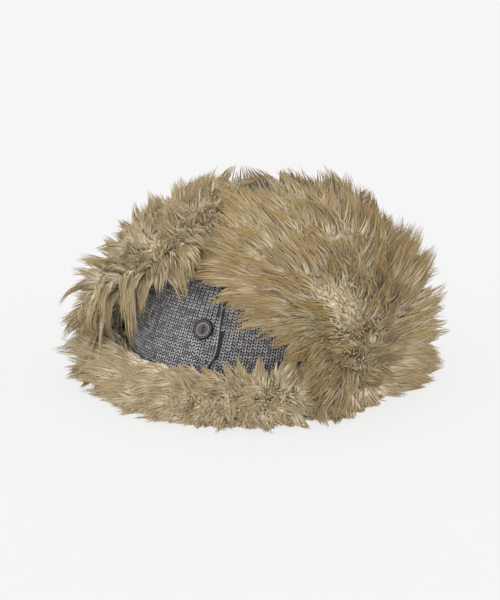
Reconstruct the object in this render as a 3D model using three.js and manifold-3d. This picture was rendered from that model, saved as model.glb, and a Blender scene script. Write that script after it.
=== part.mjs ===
// A trooper hat resting on a table by itself: a hollow knitted crown, a low fur band across the
// forehead, and two ear flaps and a neck flap turned up round the crown with their fur outwards.
// Each ear flap carries a wide knitted chin tab. The tabs cross on the front of the crown, where
// a two-hole button holds them.
// Millimetres, +Z up, the table at z = 0. The hat faces -Y, and +X is the wearer's left.
import * as THREE from "three";
import { mergeVertices } from "three/addons/utils/BufferGeometryUtils.js";
import Module from "manifold-3d";

const wasm = await Module();
wasm.setup();

const KNIT = 3; // thickness of the knitted cloth
const GAP = 0.3; // between two pieces that lie on each other
const HEAD_HALF_LENGTH = 100; // inside the rim, front to back
const HEAD_HALF_WIDTH = 84; // inside the rim, side to side
const RIM_FRONT = HEAD_HALF_LENGTH + KNIT;
const RIM_SIDE = HEAD_HALF_WIDTH + KNIT;
const PILE = 18; // depth of the dense part of the fur
const LOCK_REACH = 28; // how far the locks stand out of that dense part
const LOCK_WIDTH = 21; // of a lock where it leaves the dense part
const LOCK_ROOT = 6; // how deep a lock starts inside the dense part
const OVERHANG = 1.5; // how many times as far the locks at an ear flap's front edge reach

// Outer face of the knitted crown: half extents to the front, back and side at each height.
const CROWN = [
  { height: 3.6, front: RIM_FRONT, back: RIM_FRONT, side: RIM_SIDE },
  { height: 22, front: 101, back: 105, side: 89 },
  { height: 46, front: 89, back: 104, side: 90 },
  { height: 70, front: 75, back: 98, side: 86 },
  { height: 93, front: 59, back: 84, side: 74 },
  { height: 112, front: 40, back: 60, side: 54 },
  { height: 122, front: 20, back: 30, side: 27 },
  { height: 125, front: 0, back: 0, side: 0 },
];
const CROWN_COLUMNS = 36;
const CROWN_ROWS = 10;

// Inner face of the flaps, turned up round the crown: they start under its rim and lean over it.
const FLAPS = [
  { height: 3.2, front: RIM_FRONT - KNIT, back: RIM_FRONT - KNIT, side: RIM_SIDE - KNIT },
  { height: 4.4, front: 109, back: 110, side: 94 },
  { height: 22, front: 115, back: 117, side: 102 },
  { height: 50, front: 107, back: 117, side: 103 },
  { height: 80, front: 88, back: 106, side: 94 },
  { height: 108, front: 63, back: 83, side: 75 },
  { height: 130, front: 34, back: 46, side: 42 },
  { height: 137, front: 0, back: 0, side: 0 },
];
const FLAP_ROWS = 8;
const FLAP_STEP_DEGREES = 10;

// Front edge of an ear flap and its back edge, at equal steps up the flap, in degrees from the
// front of the hat: the two flaps lean forward over the crown and almost meet above the button.
const EAR_FLAP = [
  { front: 62, back: 124 },
  { front: 65, back: 125 },
  { front: 57, back: 126 },
  { front: 19, back: 122 },
  { front: 4, back: 106 },
];
const NECK_FLAP = [
  { front: 126, back: 234 },
  { front: 127, back: 233 },
  { front: 128, back: 232 },
  { front: 130, back: 230 },
  { front: 143, back: 217 },
];

// How far each flap rises as a share of the way to the top, which way round it lies, and the
// place from which its fur runs out to all sides, as shares of its width and of its height.
const FLAP_SHAPES = [
  { name: "ear_flap_left", edges: EAR_FLAP, side: 1, rise: 0.93, swirl: [0.32, 0.36] },
  { name: "ear_flap_right", edges: EAR_FLAP, side: -1, rise: 0.93, swirl: [0.32, 0.36] },
  { name: "neck_flap", edges: NECK_FLAP, side: 1, rise: 0.76, swirl: [0.5, 0.35] },
];
const LOCK_ROWS = 8; // up a flap
const LOCK_SPACING = 20; // along a row
const FRINGE_LOCKS = 11; // up the front edge of an ear flap, between its rows
const FRINGE_SHARE = 0.02; // of the flap's width, from its front edge to the fringe

// Section of the fur band on the forehead: out from the crown, and height above the table.
const BAND_SECTION = [
  { out: 0.4, height: 0 },
  { out: 17, height: 0 },
  { out: 23, height: 9 },
  { out: 20, height: 20 },
  { out: 14, height: 28 },
  { out: 9, height: 29 },
  { out: 8, height: 22 },
  { out: 0.4, height: 17 },
];
const BAND_HALF_ANGLE = 60;
const BAND_STEPS = 12;
const BAND_LOCKS = 12; // in each of its rows
const BAND_ROWS = [
  { out: 19, height: 5, rise: -0.5, reach: 1 },
  { out: 19, height: 15, rise: -0.5, reach: 0.95 },
  { out: 14, height: 24, rise: 0.1, reach: 0.75 },
];
const BAND_TOP = 36; // the highest that the band's fur reaches
const ZONE_GAP = 0.5; // degrees between the furs of two neighbours

// The chin tabs: where each starts at the temple and ends past the middle of the forehead, in
// millimetres across the hat, and its lower and upper edge as heights on the crown.
const TAB_THICKNESS = 3;
const TAB_LOW = 28;
const TAB_HIGH = 98;
const TAB_CORNER = 25; // radius of its two corners
// Each tab runs across the front from its root to its end, which slants. The distances are from
// the hat's middle towards the tab's own side, so an end beyond the middle is below nought.
const TABS = [
  { name: "chin_tab_left", side: 1, root: 76, endLow: -26, endHigh: -20, layer: 0 },
  { name: "chin_tab_right", side: -1, root: 76, endLow: -22, endHigh: -16, layer: 1 },
];

const BUTTON_HEIGHT = 60; // of the place on the crown behind it, above the table
const BUTTON_ACROSS = 8; // from the hat's middle towards the wearer's left
const BUTTON_RADIUS = 8;
const BUTTON_THICKNESS = 3;
const BUTTON_SIDES = 24;
const BUTTON_HOLE_RADIUS = 1;
const BUTTON_HOLE_SPACING = 3.6;
const THREAD_RADIUS = 0.6;

const COLOURS = {
  knit: { color: 0x7c7d80, roughness: 0.95, metalness: 0 },
  fur: { color: 0xa08c66, roughness: 0.9, metalness: 0 },
  button: { color: 0x4c4d55, roughness: 0.35, metalness: 0 },
  thread: { color: 0x2e2f35, roughness: 0.8, metalness: 0 },
};

const radians = THREE.MathUtils.degToRad;
const clamp = THREE.MathUtils.clamp;
const lerp = THREE.MathUtils.lerp;

// A number from 0 to 1 that looks random and is the same on every run.
function scatter(seed) {
  const wave = Math.sin(seed * 12.9898 + 4.1414) * 43758.5453;
  return wave - Math.floor(wave);
}

// A column of a table at a share of the way from its first row to its last, on a smooth curve.
// The last row's neighbour beyond the end is given by the caller, or else lies straight on.
function blend(table, column, share, beyond) {
  const place = clamp(share, 0, 1) * (table.length - 1);
  const row = Math.min(Math.floor(place), table.length - 2);
  const part = place - row;
  const b = table[row][column];
  const c = table[row + 1][column];
  const a = row > 0 ? table[row - 1][column] : 2 * b - c;
  const d = row < table.length - 2 ? table[row + 2][column] : (beyond ?? 2 * c - b);
  return (
    b * (1 + 2 * part) * (1 - part) ** 2 +
    c * part ** 2 * (3 - 2 * part) +
    ((c - a) / 2) * part * (1 - part) ** 2 +
    ((d - b) / 2) * part ** 2 * (part - 1)
  );
}

// A dome's height and half extents at a share of the way up it. It runs level over the top.
function section(table, share) {
  const last = table[table.length - 2];
  return {
    height: blend(table, "height", share, last.height),
    front: blend(table, "front", share, -last.front),
    back: blend(table, "back", share, -last.back),
    side: blend(table, "side", share, -last.side),
  };
}

function skin(table, degrees, share) {
  const at = section(table, share);
  const a = radians(degrees);
  const depth = Math.cos(a) > 0 ? at.front : at.back;
  return new THREE.Vector3(at.side * Math.sin(a), -depth * Math.cos(a), at.height);
}

// The way round the hat, the way up it, and the way out of it, at a place on a dome.
function compass(table, degrees, share) {
  const round = skin(table, degrees + 1, share).sub(skin(table, degrees - 1, share)).normalize();
  const up = skin(table, degrees, Math.min(share + 0.02, 0.999))
    .sub(skin(table, degrees, share - 0.02))
    .normalize();
  return { round, up, out: round.clone().cross(up).normalize() };
}

function onDome(table, degrees, share, out) {
  const way = compass(table, degrees, share).out;
  return skin(table, degrees, share).addScaledVector(way, out);
}

// A closed mesh from rings of points. Where the rings don't loop back to the first one, a strip
// across the first ring and one across the last ring close it. The second half of each ring runs
// back along the first half, and its squares are halved so that both faces of a sheet match.
function closedGrid(rings, looped) {
  const points = [];
  const size = rings[0].length;
  const quads = looped ? rings.length : rings.length - 1;
  for (let i = 0; i < quads; i++) {
    const here = rings[i];
    const next = rings[(i + 1) % rings.length];
    for (let j = 0; j < size; j++) {
      const k = (j + 1) % size;
      if (j < size / 2) points.push(here[j], here[k], next[k], here[j], next[k], next[j]);
      else points.push(here[j], here[k], next[j], here[k], next[k], next[j]);
    }
  }
  if (!looped) {
    const caps = [[...rings[0]].reverse(), rings[rings.length - 1]];
    for (const ring of caps) {
      for (let a = 0, b = size - 1; a + 1 < b; a++, b--) {
        points.push(ring[a], ring[a + 1], ring[b]);
        if (a + 1 < b - 1) points.push(ring[a + 1], ring[b - 1], ring[b]);
      }
    }
  }
  return new THREE.BufferGeometry().setFromPoints(points);
}

// A geometry as a solid that can be joined and cut, turned face out if it came inside out.
function solid(geometry) {
  geometry.deleteAttribute("normal");
  geometry.deleteAttribute("uv");
  const merged = mergeVertices(geometry, 1e-3);
  const faces = [];
  const index = merged.index.array;
  for (let i = 0; i < index.length; i += 3) {
    const [a, b, c] = index.slice(i, i + 3);
    if (a !== b && b !== c && c !== a) faces.push(a, b, c);
  }
  const vertProperties = merged.attributes.position.array;
  const build = (triVerts) =>
    new wasm.Manifold(new wasm.Mesh({ numProp: 3, vertProperties, triVerts }));
  const made = build(new Uint32Array(faces));
  return made.volume() > 0 ? made : build(new Uint32Array(faces.reverse()));
}

function meshOf(name, body, finish) {
  const { vertProperties, triVerts } = largest(body).getMesh();
  const geometry = new THREE.BufferGeometry();
  geometry.setAttribute("position", new THREE.BufferAttribute(vertProperties, 3));
  geometry.setIndex(new THREE.BufferAttribute(triVerts, 1));
  geometry.computeVertexNormals();
  const mesh = new THREE.Mesh(geometry, new THREE.MeshStandardMaterial(finish));
  mesh.name = name;
  return mesh;
}

// The hollow crown: its outer face from rim to top, and back down inside at one cloth's depth.
function crown() {
  const rings = [];
  for (let j = 0; j < CROWN_COLUMNS; j++) {
    const degrees = (360 * j) / CROWN_COLUMNS;
    const loop = [];
    for (let i = 0; i <= CROWN_ROWS; i++) loop.push(skin(CROWN, degrees, i / CROWN_ROWS));
    for (let i = CROWN_ROWS; i >= 0; i--) {
      const inner = onDome(CROWN, degrees, i / CROWN_ROWS, -KNIT);
      if (i === 0) inner.z = CROWN[0].height;
      if (i === CROWN_ROWS) inner.set(0, 0, CROWN.at(-1).height - KNIT);
      loop.push(inner);
    }
    rings.push(loop);
  }
  return solid(closedGrid(rings, true));
}

// A solid dome a set distance out from a table's dome.
function domeGrown(table, rows, columns, out) {
  const rings = [];
  for (let i = 0; i < rows; i++) {
    const loop = [];
    for (let j = 0; j < columns; j++) loop.push(onDome(table, (360 * j) / columns, i / rows, out));
    rings.push(loop);
  }
  const top = new THREE.Vector3(0, 0, table.at(-1).height + out);
  rings.push(rings[0].map(() => top));
  return solid(closedGrid(rings, false));
}

// A place on a flap's dome, from shares of the flap's width and height: its angle and its rise.
function onFlap(flap, share, height) {
  const front = blend(flap.edges, "front", height);
  const back = blend(flap.edges, "back", height);
  return [flap.side * lerp(front, back, share), flap.rise * height];
}

// A sheet that follows the flaps' dome between two depths, over the whole of one flap.
function flapSheet(flap, inside, outside) {
  const steps = Math.round((flap.edges[0].back - flap.edges[0].front) / FLAP_STEP_DEGREES) + 1;
  const rings = [];
  for (let j = 0; j <= steps; j++) {
    const share = j / steps;
    const face = (depth) => {
      const points = [];
      for (let i = 0; i <= FLAP_ROWS; i++) {
        const height = i / FLAP_ROWS;
        points.push(onDome(FLAPS, ...onFlap(flap, share, height), depth(share, height)));
      }
      return points;
    };
    rings.push([...face(outside), ...face(inside).reverse()]);
  }
  return solid(closedGrid(rings, false));
}

// One lock of fur: a three-sided spike that leaves the dense fur one way and ends another way.
function lock(root, leave, end, reach) {
  const across = new THREE.Vector3().crossVectors(leave, end);
  if (across.length() < 0.05) across.set(-leave.y, leave.x, 0.01);
  across.normalize();
  const start = root.clone().addScaledVector(leave, -LOCK_ROOT);
  const bend = root.clone().addScaledVector(leave, reach * 0.4);
  const tip = bend.clone().addScaledVector(end, reach * 0.65);
  const ring = (centre, way, width) => {
    const deep = new THREE.Vector3().crossVectors(way, across).normalize();
    return [
      centre.clone().addScaledVector(across, width / 2),
      centre.clone().addScaledVector(deep, -width * 0.55),
      centre.clone().addScaledVector(across, -width / 2),
    ];
  };
  const low = ring(start, leave, LOCK_WIDTH);
  const high = ring(bend, leave.clone().add(end).normalize(), LOCK_WIDTH * 0.75);
  return solid(closedGrid([low, high, [tip, tip, tip]], false));
}

// Where the locks of a flap stand, as shares of its width and height: in rows, with those of every
// second row further along, and on an ear flap in a fringe at its front edge too.
function lockPlaces(flap, place) {
  const places = [];
  for (let i = 0; i < LOCK_ROWS; i++) {
    const height = (i + 0.5) / LOCK_ROWS;
    const width = [0, 0.25, 0.5, 0.75].reduce(
      (sum, share) => sum + place(share, height, PILE).distanceTo(place(share + 0.25, height, PILE)),
      0,
    );
    const columns = Math.max(2, Math.round(width / LOCK_SPACING));
    for (let j = 0; j < columns; j++) places.push([(j + (i % 2 ? 0.7 : 0.3)) / columns, height]);
  }
  const fringe = flap.edges === EAR_FLAP ? FRINGE_LOCKS : 0;
  for (let i = 0; i < fringe; i++) places.push([FRINGE_SHARE, (i + 1) / (fringe + 1)]);
  return places;
}

// The dense fur of one flap with its locks, which run out to all sides from the flap's swirl and
// hang over the front edge of an ear flap.
function flapFur(flap, seed) {
  const edge = (share, height) =>
    Math.min(1, 0.5 + 3 * Math.min(share, 1 - share)) * Math.sqrt(Math.max(1 - height ** 6, 0.2));
  const inside = () => KNIT + GAP;
  const outside = (share, height) => KNIT + GAP + PILE * edge(share, height);
  const place = (share, height, out) => onDome(FLAPS, ...onFlap(flap, share, height), out);
  const swirl = place(...flap.swirl, PILE);
  const locks = lockPlaces(flap, place).map(([share, height], i) => {
    const { round, up, out } = compass(FLAPS, ...onFlap(flap, share, height));
    const root = place(share, height, outside(share, height) - 1);
    const away = root.clone().sub(swirl);
    const run = Math.min(1, away.length() / 45);
    away.addScaledVector(out, -away.dot(out)).normalize();
    away.addScaledVector(round, (scatter(seed + i) - 0.5) * 0.7);
    const leave = out.clone().addScaledVector(away, 0.35 * run);
    const overhang = flap.edges === EAR_FLAP ? clamp(1 - share / 0.2, 0, 1) : 0;
    const end = out.clone().multiplyScalar(lerp(0.75, 0.1, overhang));
    end.addScaledVector(away, 1.1 * run).addScaledVector(up, lerp(0.15, -0.4, overhang));
    const reach = LOCK_REACH * lerp(0.8, 1.15, scatter(seed + i + 0.5)) * lerp(1, OVERHANG, overhang);
    return lock(root, leave.normalize(), end.normalize(), reach);
  });
  const keepOut = domeGrown(FLAPS, FLAP_ROWS, CROWN_COLUMNS, KNIT + GAP + 1);
  return flapSheet(flap, inside, outside).add(wasm.Manifold.union(locks).subtract(keepOut));
}

// The fur band on the forehead, with its locks outwards and down.
function frontBand() {
  const place = (degrees, out, height) => {
    const share = shareAtHeight(CROWN, Math.max(height, CROWN[0].height));
    const base = skin(CROWN, degrees, share);
    const level = new THREE.Vector3(base.x / RIM_SIDE ** 2, base.y / RIM_FRONT ** 2, 0).normalize();
    base.addScaledVector(level, out);
    base.z = height;
    return base;
  };
  const rings = [];
  for (let j = 0; j <= BAND_STEPS; j++) {
    const degrees = lerp(-BAND_HALF_ANGLE, BAND_HALF_ANGLE, j / BAND_STEPS);
    rings.push(BAND_SECTION.map((row) => place(degrees, row.out, row.height)));
  }
  const parts = [solid(closedGrid(rings, false))];
  BAND_ROWS.forEach((row, i) => {
    for (let j = 0; j < BAND_LOCKS; j++) {
      const wander = scatter(71 + 40 * i + j);
      const share = (j + (i % 2 ? 0.7 : 0.3)) / BAND_LOCKS;
      const degrees = lerp(-BAND_HALF_ANGLE, BAND_HALF_ANGLE, share);
      const root = place(degrees, row.out, row.height);
      const out = place(degrees, row.out + 1, row.height).sub(root).normalize();
      const aside = new THREE.Vector3(-out.y, out.x, 0).multiplyScalar((wander - 0.5) * 0.8);
      const leave = out.clone().addScaledVector(aside, 0.5);
      const end = out.clone().add(aside);
      leave.z = row.rise * 0.5;
      end.z = row.rise;
      const reach = LOCK_REACH * row.reach * lerp(0.8, 1.1, wander);
      parts.push(lock(root, leave.normalize(), end.normalize(), reach));
    }
  });
  return wasm.Manifold.union(parts);
}

// What is left of a solid on one side of the upright plane through the hat's middle that runs
// out at an angle: the side towards larger angles, or the other one.
function trimAtAngle(body, degrees, larger) {
  const a = radians(degrees);
  const way = larger ? 1 : -1;
  return body.trimByPlane([way * Math.cos(a), way * Math.sin(a), 0], 0);
}

function aboveTable(body) {
  return body.trimByPlane([0, 0, 1], 0);
}

// The largest of the separate bodies that cuts have left.
function largest(body) {
  return body.decompose().reduce((a, b) => (a.volume() > b.volume() ? a : b));
}

// The share of the way up a dome at which it reaches a height, by halving.
function shareAtHeight(table, height) {
  let low = 0;
  let high = 1;
  for (let i = 0; i < 24; i++) {
    const middle = (low + high) / 2;
    if (section(table, middle).height < height) low = middle;
    else high = middle;
  }
  return (low + high) / 2;
}

// A chin tab: the part of a shell round the crown that lies inside the tab's outline as seen
// from the front, which is a strip with two round corners.
function chinTab(tab) {
  const low = GAP + tab.layer * (TAB_THICKNESS + GAP);
  const grown = (out) => domeGrown(CROWN, CROWN_ROWS, CROWN_COLUMNS, out);
  const shell = grown(low + TAB_THICKNESS).subtract(grown(low));
  const outline = new THREE.Shape();
  outline.moveTo(tab.root, TAB_LOW);
  outline.lineTo(tab.root, TAB_HIGH);
  outline.lineTo(tab.endHigh + TAB_CORNER, TAB_HIGH);
  const corners = [
    { x: tab.endHigh + TAB_CORNER, z: TAB_HIGH - TAB_CORNER, from: 0.5 * Math.PI },
    { x: tab.endLow + TAB_CORNER, z: TAB_LOW + TAB_CORNER, from: Math.PI },
  ];
  for (const corner of corners) {
    outline.absarc(corner.x, corner.z, TAB_CORNER, corner.from, corner.from + Math.PI / 2);
  }
  outline.closePath();
  const prism = new THREE.ExtrudeGeometry(outline, {
    depth: 2 * RIM_FRONT,
    bevelEnabled: false,
    curveSegments: 5,
  });
  prism.rotateX(Math.PI / 2).scale(tab.side, 1, 1);
  return shell.intersect(solid(prism));
}

// A group whose +Z points out of the forehead at the button's place.
function buttonFrame() {
  const share = shareAtHeight(CROWN, BUTTON_HEIGHT);
  const side = section(CROWN, share).side;
  const degrees = THREE.MathUtils.radToDeg(Math.asin(BUTTON_ACROSS / side));
  const { out } = compass(CROWN, degrees, share);
  const frame = new THREE.Group();
  const stack = 2 * (TAB_THICKNESS + GAP) + GAP;
  frame.position.copy(onDome(CROWN, degrees, share, stack));
  frame.quaternion.setFromUnitVectors(new THREE.Vector3(0, 0, 1), out);
  return frame;
}

function button() {
  const r = BUTTON_RADIUS;
  const t = BUTTON_THICKNESS;
  const outline = [
    [0, 0],
    [r - 1.2, 0],
    [r, 1],
    [r, t - 0.6],
    [r - 0.6, t],
    [r - 1.8, t],
    [r - 2.4, t - 1],
    [0, t - 1],
  ].map(([x, y]) => new THREE.Vector2(x, y));
  const disc = new THREE.LatheGeometry(outline, BUTTON_SIDES).rotateX(Math.PI / 2);
  let body = solid(disc);
  for (const side of [-1, 1]) {
    const hole = new THREE.CylinderGeometry(BUTTON_HOLE_RADIUS, BUTTON_HOLE_RADIUS, 3 * t, 10);
    hole.rotateX(Math.PI / 2).translate(0, (side * BUTTON_HOLE_SPACING) / 2, t / 2);
    body = body.subtract(solid(hole));
  }
  return body;
}

// The stitches that hold the button: a bridge over its face and a leg through each hole.
function buttonThread() {
  const top = BUTTON_THICKNESS - 1 + GAP + THREAD_RADIUS;
  const far = BUTTON_HOLE_SPACING / 2;
  const path = new THREE.CatmullRomCurve3(
    [[-far, 0.1], [-far, top - 0.5], [-far * 0.6, top], [far * 0.6, top], [far, top - 0.5], [far, 0.1]].map(
      ([y, z]) => new THREE.Vector3(0, y, z),
    ),
    false,
    "catmullrom",
    0.2,
  );
  const round = new THREE.Shape().absarc(0, 0, THREAD_RADIUS, 0, 2 * Math.PI);
  return solid(
    new THREE.ExtrudeGeometry(round, { steps: 12, extrudePath: path, curveSegments: 3 }),
  );
}

// The space under the top of the band's fur, between its two ends, which the flaps' fur leaves.
function bandSpace() {
  const far = 400;
  const half = radians(BAND_HALF_ANGLE + 2 + ZONE_GAP);
  const shape = new THREE.Shape();
  shape.moveTo(0, 0);
  shape.lineTo(-far * Math.sin(half), -far * Math.cos(half));
  shape.lineTo(-far, -far);
  shape.lineTo(far, -far);
  shape.lineTo(far * Math.sin(half), -far * Math.cos(half));
  shape.closePath();
  const body = new THREE.ExtrudeGeometry(shape, { depth: BAND_TOP + 50, bevelEnabled: false });
  return solid(body.translate(0, 0, -50));
}

// A flap's fur, kept clear of its neighbours.
function trimmedFur(flap, seed) {
  const { front, back } = flap.edges[0];
  const body = aboveTable(flapFur(flap, seed));
  if (flap.edges === NECK_FLAP) {
    return trimAtAngle(trimAtAngle(body, front - 1 + ZONE_GAP, true), back + 1 - ZONE_GAP, false);
  }
  const onSide = body.trimByPlane([flap.side, 0, 0], GAP / 2);
  const clearOfNeck = trimAtAngle(onSide, flap.side * (back + 1 - ZONE_GAP), flap.side < 0);
  return clearOfNeck.subtract(bandSpace());
}

const hat = new THREE.Group();
const crownBody = crown();
hat.add(meshOf("crown", crownBody, COLOURS.knit));
for (const tab of TABS) hat.add(meshOf(tab.name, chinTab(tab), COLOURS.knit));
const band = trimAtAngle(aboveTable(frontBand()), -BAND_HALF_ANGLE - 2, true);
const trimmedBand = trimAtAngle(band, BAND_HALF_ANGLE + 2, false);
hat.add(meshOf("front_band", trimmedBand.trimByPlane([0, 0, -1], GAP - BAND_TOP), COLOURS.fur));
FLAP_SHAPES.forEach((flap, i) => {
  const wall = flapSheet(flap, () => 0, () => KNIT);
  hat.add(meshOf(`${flap.name}_knit`, aboveTable(wall), COLOURS.knit));
  hat.add(meshOf(`${flap.name}_fur`, trimmedFur(flap, 400 * i), COLOURS.fur));
});
const fastening = buttonFrame();
fastening.add(meshOf("button", button(), COLOURS.button));
fastening.add(meshOf("button_thread", buttonThread(), COLOURS.thread));
hat.add(fastening);

// The origin lies under the middle of the hat's box, on the table.
const middle = new THREE.Box3().setFromObject(hat, true).getCenter(new THREE.Vector3());
hat.position.set(-middle.x, -middle.y, 0);

export default hat;
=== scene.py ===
"""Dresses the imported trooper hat: knitted crown, flaps and chin tabs, long fur on the flaps and the
front band, a rimmed button, a pale floor, soft light and a camera at the photograph's angle.

Tables and formulas are in millimetres, in the hat's own frame, whose middle lies under the crown.
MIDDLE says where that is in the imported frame, and put_mesh turns the points into metres there."""
from types import SimpleNamespace

import bpy
import numpy as np
from bpy.props import FloatProperty, FloatVectorProperty, IntProperty, PointerProperty
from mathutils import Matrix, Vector


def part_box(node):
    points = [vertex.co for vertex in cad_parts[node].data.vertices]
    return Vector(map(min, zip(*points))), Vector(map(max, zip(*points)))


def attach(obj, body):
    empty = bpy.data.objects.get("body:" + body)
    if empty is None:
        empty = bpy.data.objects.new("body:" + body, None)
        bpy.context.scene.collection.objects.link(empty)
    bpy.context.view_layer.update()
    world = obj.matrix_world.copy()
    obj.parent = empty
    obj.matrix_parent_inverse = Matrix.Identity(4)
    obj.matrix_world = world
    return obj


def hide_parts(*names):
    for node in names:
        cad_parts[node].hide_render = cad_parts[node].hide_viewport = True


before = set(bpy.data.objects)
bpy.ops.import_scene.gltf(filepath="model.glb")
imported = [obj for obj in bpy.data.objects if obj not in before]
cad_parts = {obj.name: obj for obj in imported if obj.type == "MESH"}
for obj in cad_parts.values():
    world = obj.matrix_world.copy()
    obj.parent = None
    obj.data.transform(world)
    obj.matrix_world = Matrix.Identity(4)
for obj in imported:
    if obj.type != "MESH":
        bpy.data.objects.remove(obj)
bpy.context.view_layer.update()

bl_info = {
    "name": "Trooper Hat",
    "version": (1, 0, 0),
    "blender": (4, 5, 0),
    "location": "View3D > Sidebar > Trooper Hat",
    "description": "Knitted cloth, fur, button, stage and camera for the packed trooper hat",
    "category": "Add Mesh",
}

MM = 0.001
# The cloth's thickness, the gap between two cloths, and the cloth's least height over the table
KNIT = 3.0
CLOTH_GAP = 0.3
FLOOR_GAP = 0.2
# The highest share at which a dome's own normal is read, and the share to either side of it
TOP_SHARE, DOME_STEP = 0.985, 0.014
# The share at which the crown's last ring stands
POLE_SHARE = 0.9985
# How far the rim reaches from the hat's middle to the front and to the side
RIM_FRONT = 103.0
RIM_SIDE = 87.0
CROWN_LOW, CROWN_HIGH = (np.array(corner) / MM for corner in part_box("crown"))
MIDDLE = np.array([(CROWN_LOW[0] + CROWN_HIGH[0]) / 2, CROWN_LOW[1] + RIM_FRONT, 0.0])

# Outer face of the crown and inner face of the flaps: half extents to the front, back and side
CROWN = {
    "height": [3.6, 22, 46, 70, 93, 112, 122, 125],
    "front": [103, 101, 89, 75, 59, 40, 20, 0],
    "back": [103, 105, 104, 98, 84, 60, 30, 0],
    "side": [87, 89, 90, 86, 74, 54, 27, 0],
}
FLAPS = {
    "height": [3.2, 4.4, 22, 50, 80, 108, 130, 137],
    "front": [100, 109, 115, 107, 88, 63, 34, 0],
    "back": [100, 110, 117, 117, 106, 83, 46, 0],
    "side": [84, 94, 102, 103, 94, 75, 42, 0],
}

# Each flap's front and back edge at equal steps up it, in degrees round from the hat's front
EAR_EDGES = {"front": [62, 65, 57, 19, 4], "back": [124, 125, 126, 122, 106]}
NECK_EDGES = {"front": [126, 127, 128, 130, 143], "back": [234, 233, 232, 230, 217]}
FLAP_SHAPES = {
    "ear_flap_left": {"edges": EAR_EDGES, "side": 1, "rise": 0.93},
    "ear_flap_right": {"edges": EAR_EDGES, "side": -1, "rise": 0.93},
    "neck_flap": {"edges": NECK_EDGES, "side": 1, "rise": 0.76},
}

# The band's skin, from its fold on the table to its upper edge: out from the crown, and height
BAND_SKIN = {"out": [3, 8, 11, 11, 9, 7], "height": [1, 2, 7, 15, 23, 29]}
BAND_HALF_ANGLE = 61.0

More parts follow.
